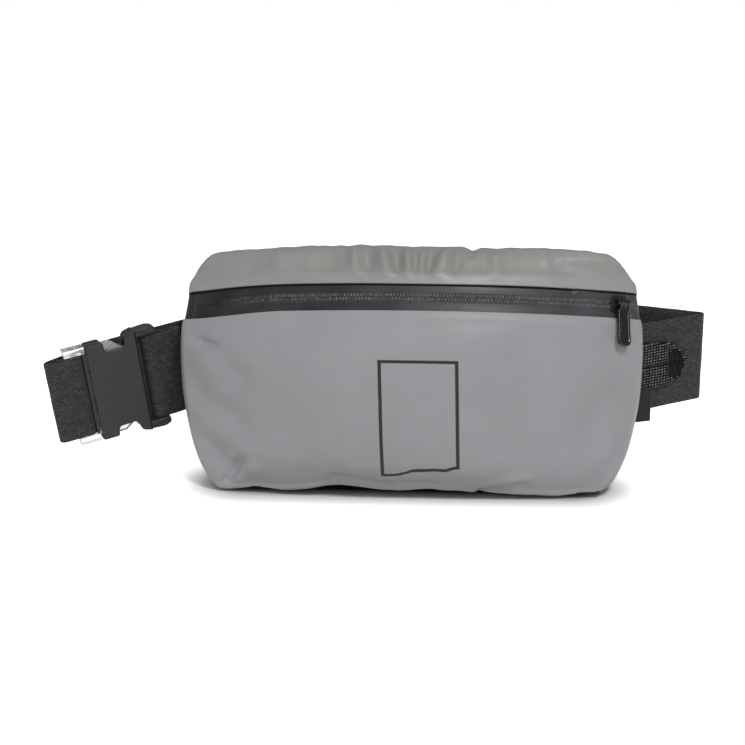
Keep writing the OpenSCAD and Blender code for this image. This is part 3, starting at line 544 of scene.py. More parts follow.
def polyester_webbing(finish):
    """Shuttle woven polyester webbing: rows of short floats drawn lighter as painted highlights, grooves
    drawn darker as painted shade, a dull yarn sheen.
    """
    material, add = new_material(
        "polyester webbing",
        {"Roughness": 0.66, "IOR": 1.5, "Specular IOR Level": 0.2, "Sheen Weight": 0.08},
    )
    place = add("TexCoord")
    # floats 1.7 mm long in rows 0.85 mm apart, drawn a tenth coarser so that they show
    # painted highlights on the floats and painted shade in the grooves, lighter and darker than the yarn's
    # own colour
    floats_with_painted_light = add(
        "TexBrick",
        {
            "Vector": place["UV"],
            "Color1": shade(finish.webbing, 1.5),
            "Color2": shade(finish.webbing, 3.4),
            "Mortar": shade(finish.webbing, 0.3),
            "Scale": 1 / MM,
            "Mortar Size": 0.34,
            "Mortar Smooth": 1.0,
            "Brick Width": 1.9,
            "Row Height": 0.95,
        },
    )
    fuzz = add("TexNoise", {"Vector": place["Object"], "Scale": 1 / (0.5 * MM), "Detail": 2})
    deep = add("Math", {0: floats_with_painted_light["Fac"], 1: -1.0}, operation="MULTIPLY")
    rough = add("Bump", {"Height": fuzz["Fac"], "Strength": 0.25, "Distance": 0.15 * MM})
    relief = add("Bump", {"Height": deep[0], "Strength": 0.5, "Distance": 0.3 * MM, "Normal": rough[0]})
    return feed_shader(material, {"Base Color": floats_with_painted_light["Color"], "Normal": relief[0]})


def spacer_mesh(finish):
    """Knitted spacer mesh: black, with its staggered stitches drawn pale as painted highlights and its
    holes drawn darker as painted shade.
    """
    material, add = new_material("spacer mesh", {"Roughness": 0.65, "IOR": 1.5, "Specular IOR Level": 0.12})
    place = add("TexCoord")
    # stitches 1.6 mm apart in rows of 1.35 mm, as on a 3 mm spacer knit
    # painted highlights: pale stitches on the black yarn; painted shade: holes darker than the mesh
    knit_with_painted_light = add(
        "TexBrick",
        {
            "Vector": place["UV"],
            "Color1": linear("#9c9a9a"),
            "Color2": linear("#626162"),
            "Mortar": shade(finish.mesh, 0.4),
            "Scale": 1 / MM,
            "Mortar Size": 0.5,
            "Mortar Smooth": 0.6,
            "Brick Width": 1.6,
            "Row Height": 1.35,
        },
    )
    deep = add("Math", {0: knit_with_painted_light["Fac"], 1: -1.0}, operation="MULTIPLY")
    relief = add("Bump", {"Height": deep[0], "Strength": 1.0, "Distance": 0.7 * MM})
    return feed_shader(material, {"Base Color": knit_with_painted_light["Color"], "Normal": relief[0]})


def moulded_acetal(finish):
    """Injection moulded acetal: charcoal, satin from a fine spark-eroded tool."""
    material, add = new_material("moulded acetal", {"IOR": 1.48, "Specular IOR Level": 0.3})
    place = add("TexCoord")
    grain = add("TexNoise", {"Vector": place["Object"], "Scale": 1 / (0.35 * MM), "Detail": 2})
    flow = add("TexNoise", {"Vector": place["Object"], "Scale": 1 / (22 * MM), "Detail": 2})
    tone = add(
        "Mix",
        {0: flow["Fac"], 6: shade(finish.socket, 0.85), 7: shade(finish.socket, 1.15)},
        data_type="RGBA",
    )
    satin = add("MapRange", {"Value": flow["Fac"], 1: 0.3, 2: 0.7, 3: 0.38, 4: 0.48})
    relief = add("Bump", {"Height": grain["Fac"], "Strength": 0.12, "Distance": 0.08 * MM})
    return feed_shader(material, {"Base Color": tone[2], "Roughness": satin[0], "Normal": relief[0]})


def clear_polycarbonate(finish):
    """Clear moulded polycarbonate: bright, with dark refracting edges and faint flow ripples."""
    material, add = new_material(
        "clear polycarbonate",
        {"Base Color": linear(finish.clear), "Roughness": 0.1, "IOR": 1.58, "Transmission Weight": 0.8},
    )
    place = add("TexCoord")
    ripple = add("TexNoise", {"Vector": place["Object"], "Scale": 1 / (5 * MM), "Detail": 2})
    relief = add("Bump", {"Height": ripple["Fac"], "Strength": 0.2, "Distance": 0.4 * MM})
    return feed_shader(material, {"Normal": relief[0]})


def black_lacquer(finish):
    """Die-cast zinc under black stoving lacquer: glossy, with a slight orange peel."""
    material, add = new_material(
        "black lacquer", {"Base Color": linear(finish.lacquer), "IOR": 1.5, "Specular IOR Level": 0.45}
    )
    place = add("TexCoord")
    peel = add("TexNoise", {"Vector": place["Object"], "Scale": 1 / (1.2 * MM), "Detail": 2})
    gloss = add("MapRange", {"Value": peel["Fac"], 1: 0.3, 2: 0.7, 3: 0.24, 4: 0.36})
    relief = add("Bump", {"Height": peel["Fac"], "Strength": 0.08, "Distance": 0.1 * MM})
    return feed_shader(material, {"Roughness": gloss[0], "Normal": relief[0]})


def plain_cloth(name, code, thread):
    """Plain woven or non-woven cloth: dull, with a thread grid of this spacing in millimetres."""
    material, add = new_material(
        name, {"Roughness": 0.8, "IOR": 1.5, "Specular IOR Level": 0.2, "Sheen Weight": 0.06}
    )
    place = add("TexCoord")
    warp = add("TexWave", {"Vector": place["UV"], "Scale": WAVE_SCALE / (thread * MM)}, bands_direction="X")
    weft = add("TexWave", {"Vector": place["UV"], "Scale": WAVE_SCALE / (thread * MM)}, bands_direction="Y")
    weave = add("Math", {0: warp["Fac"], 1: weft["Fac"]}, operation="MULTIPLY")
    tone = add("Mix", {0: weave[0], 6: shade(code, 0.75), 7: shade(code, 1.2)}, data_type="RGBA")
    relief = add("Bump", {"Height": weave[0], "Strength": 0.4, "Distance": 0.15 * MM})
    return feed_shader(material, {"Base Color": tone[2], "Normal": relief[0]})


def bonded_thread(finish):
    """Bonded polyester thread: near black, with a waxy shine on each stitch."""
    material, add = new_material("bonded thread", {"Roughness": 0.45, "IOR": 1.5, "Sheen Weight": 0.2})
    place = add("TexCoord")
    twist = add("TexNoise", {"Vector": place["Object"], "Scale": 1 / (0.6 * MM), "Detail": 1})
    tone = add(
        "Mix",
        {0: twist["Fac"], 6: shade(finish.thread, 0.8), 7: shade(finish.thread, 2.2)},
        data_type="RGBA",
    )
    return feed_shader(material, {"Base Color": tone[2]})


def finish_piece(name, bm, materials, body, nodes):
    """Makes a bmesh in millimetres an object in metres that rides on a body and stands for CAD nodes."""
    if not bm.faces:
        raise RuntimeError(f"{name} has no faces")
    bmesh.ops.scale(bm, vec=(MM, MM, MM), verts=bm.verts)
    for face in bm.faces:
        face.smooth = True
    mesh = bpy.data.meshes.new(name)
    bm.to_mesh(mesh)
    bm.free()
    for material in materials:
        mesh.materials.append(material)
    piece = bpy.data.objects.new(name, mesh)
    bpy.context.scene.collection.objects.link(piece)
    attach(piece, body)
    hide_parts(*nodes)
    return piece


def thicken(piece, mm, offset=-1.0, second=0):
    """Gives a sheet its thickness, to the inside unless offset says otherwise."""
    wall = piece.modifiers.new("Cloth", "SOLIDIFY")
    wall.thickness = mm * MM
    wall.offset = offset
    wall.use_even_offset = False
    wall.material_offset = second


def sheet_grid(across, along, place, uv):
    """A grid laid by place(a, b) with a and b from 0 to 1; uv(a, b) is in millimetres."""
    bm = bmesh.new()
    bmesh.ops.create_grid(bm, x_segments=across, y_segments=along, size=0.5)
    layer = bm.loops.layers.uv.new("UVMap")
    spots = {vert: (vert.co.x + 0.5, vert.co.y + 0.5) for vert in bm.verts}
    for face in bm.faces:
        for loop in face.loops:
            loop[layer].uv = [x * MM for x in uv(*spots[loop.vert])]
    for vert, spot in spots.items():
        vert.co = place(*spot)
    bm.normal_update()
    return bm


def close_sheet(bm):
    """Fills the holes of a sheet and turns its faces outwards."""
    bmesh.ops.holes_fill(bm, edges=[e for e in bm.edges if e.is_boundary])
    bmesh.ops.recalc_face_normals(bm, faces=bm.faces)


def lengths_along(points):
    """Length walked along a path up to each of its points."""
    walked = [0.0]
    for a, b in zip(points, points[1:]):
        walked.append(walked[-1] + (b - a).length)
    return walked


def even_path(points, step, rounds=0):
    """The same way again with points about one step apart, eased a little at its kinks."""
    walked = lengths_along(points)
    count = max(2, round(walked[-1] / step))
    made, k = [], 0
    for i in range(count + 1):
        at = walked[-1] * i / count
        while k < len(points) - 2 and walked[k + 1] < at:
            k += 1
        share = (at - walked[k]) / max(walked[k + 1] - walked[k], 1e-9)
        made.append(points[k].lerp(points[k + 1], min(1.0, share)))
    for _ in range(rounds):
        inner = [(a + 2 * b + c) / 4 for a, b, c in zip(made, made[1:], made[2:])]
        made = [made[0], *inner, made[-1]]
    return made


def sweep(path, ups, section, closed=False, wides=None):
    """A section [(across, out)] carried along a path; ups gives the way across at each point."""
    ring = [*section, section[0]]
    runs, rims = lengths_along(path), lengths_along([Vector(p) for p in ring])
    frames = []
    last = len(path) - 1
    for i, point in enumerate(path):
        ahead = path[(i + 1) % last] if closed else path[min(last, i + 1)]
        behind = path[(i - 1) % last] if closed else path[max(0, i - 1)]
        way = (ahead - behind).normalized()
        across = (ups[i] - ups[i].dot(way) * way).normalized()
        frames.append((point, across, way.cross(across)))

    def place(a, b):
        i = round(a * last)
        point, across, out = frames[i]
        wide, deep = ring[round(b * len(section))]
        return point + wide * (wides[i] if wides else 1) * across + deep * out

    def uv(a, b):
        return runs[round(a * last)], rims[round(b * len(section))]

    bm = sheet_grid(last, len(section), place, uv)
    bmesh.ops.remove_doubles(bm, verts=bm.verts, dist=1e-4)
    close_sheet(bm)
    return bm


def web_section(width, thick):
    """Cross-section of webbing with rounded selvedges."""
    flat, r = width / 2 - thick / 2, thick / 2
    steps = 14
    top = [(-flat + 2 * flat * k / steps, r) for k in range(steps + 1)]
    right = [(flat + r * math.sin(t), r * math.cos(t)) for t in (0.52, 1.05, 1.57, 2.09, 2.62)]
    return top + right + [(-x, -y) for x, y in top] + [(-x, -y) for x, y in right]


def round_section(r, sides=6):
    """Cross-section of a wire or a thread."""
    turns = [2 * math.pi * k / sides for k in range(sides)]
    return [(r * math.cos(t), r * math.sin(t)) for t in turns]


def in_plane(*spots):
    """Points in the plane that the webbing runs in, from (x, y)."""
    return [Vector((x, y, 0)) for x, y in spots]


def arc(x, y, r, start, end, steps=16):
    """Points of an arc in the plane that the webbing runs in, angles in degrees."""
    turns = [math.radians(start + (end - start) * k / steps) for k in range(steps + 1)]
    return in_plane(*[(x + r * math.cos(t), y + r * math.sin(t)) for t in turns])


def rounded(corners, segments=5):
    """Outline [(x, z, radius)] with its corners rounded."""
    made = []
    count = len(corners)
    for i, (x, z, r) in enumerate(corners):
        here = Vector((x, z))
        to_last = Vector(corners[i - 1][:2]) - here
        to_next = Vector(corners[(i + 1) % count][:2]) - here
        cut = min(r, to_last.length * 0.49, to_next.length * 0.49)
        if cut < 0.05:
            made.append(here)
            continue
        a, b = here + to_last.normalized() * cut, here + to_next.normalized() * cut
        for k in range(segments + 1):
            t = k / segments
            made.append((1 - t) ** 2 * a + 2 * t * (1 - t) * here + t * t * b)
    return made


def soften(bm, edges, width, segments=3):
    """Rounds these edges."""
    bmesh.ops.bevel(
        bm,
        geom=edges,
        offset=width,
        offset_type="OFFSET",
        affect="EDGES",
        segments=segments,
        profile=0.5,
        material=-1,
    )


def add_rod(bm, r, long, place):
    """A round rod along the z of a placement; gives its vertices."""
    made = bmesh.ops.create_cone(
        bm, cap_ends=True, segments=24, radius1=r, radius2=r, depth=long, matrix=place
    )
    return made["verts"]


def add_block(bm, x0, x1, z0, z1, y0, y1):
    """A plate with square corners and sharp rims."""
    add_plate(bm, [(x0, z0), (x1, z0), (x1, z1), (x0, z1)], y0, y1, 0)


def add_plate(bm, outline, y0, y1, soft):
    """A flat plate drawn in x and z, from y0 to y1, with softened rims."""
    ring = [bm.verts.new((p[0], y0, p[1])) for p in outline]
    face = bm.faces.new(ring)
    grown = bmesh.ops.extrude_face_region(bm, geom=[face])["geom"]
    lifted = [g for g in grown if isinstance(g, bmesh.types.BMVert)]
    bmesh.ops.translate(bm, verts=lifted, vec=(0, y1 - y0, 0))
    made = set(ring) | set(lifted)
    bmesh.ops.recalc_face_normals(bm, faces=[f for f in bm.faces if f.verts[0] in made])
    rims = [e for e in bm.edges if set(e.verts) <= made and abs(e.verts[0].co.y - e.verts[1].co.y) < 1e-6]
    if soft:
        soften(bm, rims, soft)


def even_shading(piece):
    """Lets the large faces of a moulding set its shading."""
    piece.modifiers.new("Shading", "WEIGHTED_NORMAL").weight = 80


def softened_node(node, material, body, width, hang=None):
    """A moulded piece from a copy of its CAD node, with its edges rounded."""
    bm = bmesh.new()
    bm.from_mesh(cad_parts[node].data)
    bmesh.ops.remove_doubles(bm, verts=bm.verts, dist=2e-6)
    bmesh.ops.dissolve_limit(bm, angle_limit=math.radians(1.5), verts=bm.verts, edges=bm.edges)
    bmesh.ops.scale(bm, vec=(1 / MM, 1 / MM, 1 / MM), verts=bm.verts)
    for vert in bm.verts if hang else []:
        vert.co = hang(vert.co)
    piece = finish_piece(node + "_moulded", bm, [material], body, [node])
    edge = piece.modifiers.new("Edge", "BEVEL")
    edge.width = width * MM
    edge.segments = 3
    edge.limit_method = "ANGLE"
    edge.angle_limit = math.radians(28)
    edge.use_clamp_overlap = True
    even_shading(piece)
    return piece


def zigzag(start, end, swing, pitch):
    """Points of a bartack from start to end in the plane of a strap, in x and z."""
    count = max(4, round((end - start) / pitch))
    steps = [(k, start + (end - start) * k / count) for k in range(count + 1)]
    return [Vector((swing if k % 2 else -swing, 0, z)) for k, z in steps]


FRONT_CREASES = [
    # [x0, z0, x1, z1, width], depth: the dart, soft pulls from the side seams, folds along the bottom
    ([-79, 16, -86, 6, 2.2], -1.5),
    ([-73, 13, -80, 6, 3.2], 1.0),
    ([-84, 18, -91, 9, 3.0], 0.8),
    ([-107, 73.5, -91, 71.5, 1.9], -1.1),
    ([-106, 68.5, -90, 67.5, 2.6], 0.7),
    ([-97, 24, -84, 14, 4.5], -1.3),
    ([-104, 74, -78, 58, 6.0], -1.6),
    ([-103, 62, -72, 66, 7.0], 1.2),
    ([-105, 48, -80, 36, 6.0], -1.5),
    ([-100, 32, -74, 24, 5.5], 1.3),
    ([34, 1.5, 53, 7, 1.6], -1.9),
    ([36, 6, 56, 11, 3.2], 1.0),
    ([-34, 7, -8, 4, 2.2], -1.3),
    ([-2, 6, 12, 3, 2.0], -1.2),
    ([98, 62, 84, 34, 6.0], -1.7),
    ([104, 46, 90, 18, 4.5], 1.5),
    ([106, 34, 97, 16, 3.5], -1.4),
    ([101, 78, 96, 56, 4.0], 1.2),
]

# fold of the tape beside the slider, [along, up, along, up, width]
ZIP_PINCH = [80, 5.2, 97, 2.2, 1.5]

# notch in the ridge, [x0, y0, x1, y1, width]
RIDGE_NOTCH = [30, 17, 28, -4, 2.8]

TOP_CREASES = [
    # [x0, y0, x1, y1, width], depth: streaks from the ridge down to the zip
    ([-87, 4, -89, -20, 4.5], 1.5),
    ([-76, 4, -74, -20, 6.0], -0.8),
    ([-61, 4, -63, -22, 5.0], 1.4),
    ([-41, 4, -38, -22, 7.0], -1.2),
    ([-27, 4, -24, -22, 2.8], 1.4),
    ([-20, 4, -18, -22, 3.0], -0.8),
    ([-14, 4, -9, -24, 3.2], 2.1),
    ([-7.6, 4, -4, -22, 2.6], -1.2),
    ([-1, 4, 0, -24, 2.4], 1.7),
    ([3, 4, 3, -22, 2.2], -0.9),
    ([6.5, 4, 5, -24, 2.4], 1.3),
    ([11, 4, 8, -22, 2.4], -1.2),
    ([19, 4, 12, -24, 3.4], 2.2),
    ([24, 4, 20, -22, 2.6], -1.2),
    ([41, 4, 39, -22, 3.6], 1.4),
    ([74, 4, 72, -20, 9.0], -1.2),
    ([94, 4, 96, -18, 2.6], -1.4),
    ([99, 4, 101, -18, 2.4], 1.4),
]


def panel_piece(shape, name, rows, hem_first, lift, materials, nodes, uv_shift):
    """A panel of coated fabric: a lofted sheet whose zip edge is folded under."""
    last, steps = len(rows) - 1, 200
    # hem's share of the sheet, the roll's share of the hem, radius of the roll, length of the flat rest
    hem_share, roll_share, roll, hem_l = 0.1, 0.65, 0.6, 3.0
    spots = [shape.on_row(curve_at(rows, k * last / steps), 0)[0] for k in range(steps + 1)]
    downs = lengths_along(spots)

    def split(b):
        share = b if hem_first else 1 - b
        return (hem_share - share) / hem_share, max(0.0, (share - hem_share) / (1 - hem_share))

    def place(a, b):
        across = 2 * a - 1
        under, share = split(b)
        v = share * last if hem_first else last - share * last
        point, _ = shape.on_row(curve_at(rows, v), across)
        if under <= 0:
            return point
        swing = math.asin(max(-1, min(1, point.x / shape.zip_radius)))
        swing = max(-shape.zip_end, min(shape.zip_end, swing))
        here = shape.on_tape(swing, 0, 0)
        back = shape.on_tape(swing, -1 if hem_first else 1, 0) - here
        out = shape.on_tape(swing, 0, 1) - here
        turn = math.pi * min(1.0, under / roll_share)
        tail = hem_l * max(0.0, (under - roll_share) / (1 - roll_share))
        return point - roll * math.sin(turn) * back - roll * (1 - math.cos(turn)) * out + tail * back

    def uv(a, b):
        under, share = split(b)
        v = share * last if hem_first else last - share * last
        _, run = shape.on_row(curve_at(rows, v), 2 * a - 1)
        down = downs[min(steps, round(v / last * steps))]
        return run, down + uv_shift - (5 * max(0.0, under) if hem_first else 0)

    bm = sheet_grid(240, 150, place, uv)
    bmesh.ops.recalc_face_normals(bm, faces=bm.faces)
    centre = spots[steps // 2]
    middle = min(bm.faces, key=lambda f: (f.calc_center_median() - centre).length)
    inside = Vector((0, 0, 45))
    if middle.normal.dot(centre - inside) < 0:
        bmesh.ops.reverse_faces(bm, faces=bm.faces)
    bm.normal_update()
    layer = bm.loops.layers.uv.active
    for vert in bm.verts:
        down = vert.link_loops[0][layer].uv.y / MM - uv_shift
        edge = down if hem_first else downs[-1] - down
        vert.co = shape.settle(vert.co + vert.normal * lift(vert.co, edge))
    piece = finish_piece(name, bm, materials, "bag", nodes)
    thicken(piece, CLOTH_T, second=1)
    return piece


def bound_outline(shape, inset):
    """Outline of the back as a list of (x, z), moved in by inset."""
    edge = shape.seam_edge()
    top = [shape.on_row(shape.top_rows[0], k / 20)[0] for k in range(19, -20, -1)]
    foot = edge[0][0]
    ring = edge + [(p.x, p.z) for p in top] + [(-x, z) for x, z in reversed(edge)]
    ring += [(foot * (k / 15 - 1), 0.0) for k in range(1, 30)]
    made = []
    for i, (x, z) in enumerate(ring):
        ahead, behind = Vector(ring[(i + 2) % len(ring)]), Vector(ring[i - 2])
        way = (ahead - behind).normalized()
        made.append(Vector((x - way.y * inset, z + way.x * inset)))
    return made


def pad_grid(shape, inset, y_flat, thick, crown, edge_r):
    """A pad in the outline of the back: flat at y_flat, crowned and rounded on its other face."""
    edge = shape.seam_edge()
    top_z = shape.on_row(shape.top_rows[0], 0)[0].z
    low, high = inset, edge[-1][1] - inset
    raised = (top_z - inset) / max(edge[-1][1] - inset, 1)

    def spot(a, b):
        across = 2 * a - 1
        at = b * (len(edge) - 1)
        i = min(int(at), len(edge) - 2)
        x = edge[i][0] + (edge[i + 1][0] - edge[i][0]) * (at - i) - inset
        z = edge[i][1] + (edge[i + 1][1] - edge[i][1]) * (at - i)
        z = min(max(z, low), high)
        return across * x, z * (raised + (1 - raised) * across * across), (1 - abs(across)) * x, across

    def place(a, b):
        x, z, side, across = spot(a, b)
        near = min(side, z - low, max(0.0, top_z - inset - z))
        rim = 1 - min(1.0, near / edge_r)
        bulge = thick * math.sqrt(max(0.0, 1 - rim * rim))
        bulge += crown * (1 - across * across) * math.sin(math.pi * min(1, max(0, z / top_z)))
        return Vector((x, y_flat + bulge, z))

    def slanted(a, b):
        x, z, _, _ = spot(a, b)
        return x + 0.5 * z, z

    bm = sheet_grid(110, 70, place, slanted)
    close_sheet(bm)
    return bm


class BELTBAG_OT_front(bpy.types.Operator):
    """Front panel of coated fabric with its folded hem, creases and printed frame"""

    bl_idname = "beltbag.front"
    bl_label = "Front panel"

    def execute(self, context):
        shape = BagShape(context.scene)
        finish = context.scene.bag_finishes

        def lift(p, edge):
            free = fade(shape.half_w - abs(p.x), 2, 14) * fade(edge, 1, 9)
            deep = sum(depth * near_line(p.x, p.z, line) for line, depth in FRONT_CREASES)
            deep += 1.1 * noise.noise(Vector((p.x / 34, p.z / 26, 1.5)))
            deep += 0.35 * noise.noise(Vector((p.x / 11, p.z / 9, 4.0)))
            wave = 0.8 * math.sin(p.x / 8.5 + 0.6) * fade(14 - p.z, 0, 9) * fade(-10 - p.y, 0, 6)
            return free * (deep + wave)

        cloths = [coated_polyester(shape, finish, "coated polyester front", 0.36), coated_reverse()]
        piece = panel_piece(shape, "front_cloth", shape.front_rows, True, lift, cloths, ["front_panel"], 0)
        return {"FINISHED"}


class BELTBAG_OT_top(bpy.types.Operator):
    """Top panel of coated fabric, wrinkled along the zip"""

    bl_idname = "beltbag.top"
    bl_label = "Top panel"

    def execute(self, context):
        shape = BagShape(context.scene)

        def lift(p, edge):
            free = fade(shape.half_w - abs(p.x), 4, 16) * fade(edge, 0, 14) * fade(shape.seam_y - p.y, 0, 8)
            deep = 1.4 * sum(depth * near_line(p.x, p.y, line) for line, depth in TOP_CREASES)
            deep *= fade(6 - p.y, 0, 16)
            deep += 0.8 * noise.noise(Vector((p.x / 20, p.y / 30, 7.5)))
            deep += 0.45 * noise.noise(Vector((p.x / 5.5, p.y / 22, 2.0)))
            notch = 1.5 * near_line(p.x, p.y, RIDGE_NOTCH) * fade(shape.seam_y - p.y, 0, 4)
            return free * deep - notch

        fabric = coated_polyester(shape, context.scene.bag_finishes, "coated polyester top", 0.5)
        cloths = [fabric, bpy.data.materials["coated polyester reverse"]]
        # moved far along the cloth, so that the printed frame isn't on it
        piece = panel_piece(shape, "top_cloth", shape.top_rows, False, lift, cloths, ["top_panel"], -1000)
        return {"FINISHED"}


class BELTBAG_OT_back(bpy.types.Operator):
    """Spacer mesh back, foam, lining and the binding of the seam"""

    bl_idname = "beltbag.back"
    bl_label = "Back, foam and lining"

    def execute(self, context):
        shape = BagShape(context.scene)
        finish = context.scene.bag_finishes
        lining = plain_cloth("taffeta lining", finish.lining, 0.8)
        pad = pad_grid(shape, 0, shape.back_y, shape.back_t, 1.6, 5)
        back = finish_piece("back_mesh", pad, [spacer_mesh(finish)], "bag", ["back_panel"])
        foam_in = 2 * shape.fabric_t + 4 * LAYER_GAP + shape.tape_t + 3
        foam_y = shape.seam_y - shape.foam_t
        pad = pad_grid(shape, foam_in, foam_y, shape.foam_t, 0, 1.2)
        cells = plain_cloth("closed cell foam", "#4d4e52", 1.4)
        foam = finish_piece("back_foam_sheet", pad, [cells], "bag", ["back_foam"])
        lining_t = 0.6
        pad = pad_grid(shape, foam_in, foam_y - LAYER_GAP - lining_t, lining_t, 0, lining_t)
        inner = finish_piece("back_lining_cloth", pad, [lining], "bag", ["back_lining"])

        def place(a, b):
            across, v = 1.86 * a - 0.93, 2 + 4.6 * b
            row = curve_at(shape.front_rows, v)
            point = shape.on_row(row, across)[0]
            side = shape.on_row(row, across + 0.01)[0] - shape.on_row(row, across - 0.01)[0]
            down = shape.on_row(curve_at(shape.front_rows, v + 0.05), across)[0] - point
            inside = side.cross(down).normalized()
            ripple = 0.4 * noise.noise(Vector((point.x / 12, point.z / 12, 9.0)))
            return shape.settle(point + (shape.fabric_t + LAYER_GAP + 3.4 + ripple) * inside)

        bm = sheet_grid(90, 50, place, lambda a, b: (230 * a, 120 * b))
        front = finish_piece("front_lining_cloth", bm, [lining], "bag", ["front_lining"])
        thicken(front, 0.3, offset=0.0)
        inset = 2 * shape.fabric_t + 3 * LAYER_GAP + shape.tape_t + 1.5
        ring = [Vector((p.x, shape.seam_y - 1.2, p.y)) for p in bound_outline(shape, inset)]
        path = even_path([*ring, ring[0]], 3.0, 1)
        path[-1] = path[0]
        section = [(x, 2.4 * y) for x, y in web_section(2.4, 1.0)]
        bm = sweep(path, [Vector((0, 1, 0))] * len(path), section, closed=True)
        tape = plain_cloth("binding tape", finish.thread, 0.7)
        binding = finish_piece("seam_binding_tape", bm, [tape], "bag", ["seam_binding"])
        return {"FINISHED"}


class BELTBAG_OT_zip(bpy.types.Operator):
    """Laminated zip tapes with the print of the coil, the coils, the tape ends and the stops"""

    bl_idname = "beltbag.zip"
    bl_label = "Zip"

    def execute(self, context):
        shape = BagShape(context.scene)
        finish = context.scene.bag_finishes
        tape = laminated_tape(shape, finish)
        coil = nylon_coil()
        lacquer = black_lacquer(finish)
        wide = shape.half_show + shape.tape_allow
        for name, side in (("upper", 1), ("lower", -1)):

            def height(turn, up):
                along = turn * shape.zip_radius
                live = fade(along, -96, -80)
                shift = COIL_SLANT * up + (0 if side > 0 else shape.coil_pitch / 2)
                loops = 0.5 + 0.5 * math.cos(2 * math.pi * (along + shift) / shape.coil_pitch)
                ridge = fade(up, 0.1, 0.6) * fade(2.2 - up, 0, 0.8) * (0.1 + 0.3 * loops)
                ridge -= 0.12 * math.exp(-(((up - 3.1) / 0.3) ** 2))
                slit = -0.3 * fade(0.5 - up, 0, 0.4)
                pinch = 0.8 * near_line(along, up, ZIP_PINCH) if side > 0 else 0
                return live * (slit + ridge) + pinch

            def spot(a, b):
                return (shape.zip_end + 1.5 / shape.zip_radius) * (2 * a - 1), 0.12 + (wide - 0.12) * b**1.5

            def place(a, b):
                turn, up = spot(a, b)
                point = shape.on_tape(turn, side * up, shape.tape_t / 2 + height(turn, up))
                return shape.settle(point)

            def tape_uv(a, b):
                turn, up = spot(a, b)
                return turn * shape.zip_radius, side * up

            bm = sheet_grid(1100, 20, place, tape_uv)
            if side > 0:
                bmesh.ops.reverse_faces(bm, faces=bm.faces)
            piece = finish_piece(
                f"zip_tape_{name}_film", bm, [tape], "bag", [f"zip_tape_{name}"]
            )
            thicken(piece, 0.5)

            # the coil on the inner side, from the left end to the slider
            reach = shape.slider_turn + (shape.slider_l / 2 - 4) / shape.zip_radius
            count = round(2 * reach * shape.zip_radius / shape.coil_pitch)
            path, ups = [], []
            per_turn = 10
            for k in range(count * per_turn + 1):
                turn = reach * (2 * k / (count * per_turn) - 1)
                loop = 2 * math.pi * (k / per_turn + (0.5 if side > 0 else 0))
                up = side * (1.55 + 1.15 * math.cos(loop))
                out = -shape.tape_t / 2 - 0.62 + 0.3 * math.sin(loop)
                path.append(shape.settle(shape.on_tape(turn, up, out)))
                ups.append(shape.axis_up)
            bm = sweep(path, ups, round_section(0.24, 5))
            finish_piece(f"zip_coil_{name}_wire", bm, [coil], "bag", [f"zip_coil_{name}"])
        for name, side in (("left", -1), ("right", 1)):

            def end_place(a, b):
                up = (shape.half_show + 2) * (2 * b - 1)
                seam_z = shape.zip_z - 11 + up * 12 / shape.zip_show
                out = shape.tape_t / 2 - 0.08
                row = shape.tape_row(up, out, shape.zip_seam_x - 1.5, seam_z)
                return shape.settle(
                    shape.on_row(row, side * (ARC_SHARE - 0.02 + (1.02 - ARC_SHARE) * a))[0]
                )

            def end_uv(a, b):
                return side * (shape.zip_end * shape.zip_radius + 4 * a), (shape.half_show + 2) * (
                    2 * b - 1
                )

            bm = sheet_grid(24, 20, end_place, end_uv)
            if side > 0:
                bmesh.ops.reverse_faces(bm, faces=bm.faces)
            piece = finish_piece(
                f"zip_end_{name}_film", bm, [tape], "bag", [f"zip_end_tab_{name}"]
            )
            thicken(piece, 0.6)
            # the stops lie under the film
            turn = side * shape.stop_turn
            sunk = 1.4 * (shape.on_tape(turn, 0, 0) - shape.on_tape(turn, 0, 1))
            softened_node(
                f"zip_stop_{name}", lacquer, "bag", 0.25, lambda p: shape.settle(p + sunk)
            )
        return {"FINISHED"}


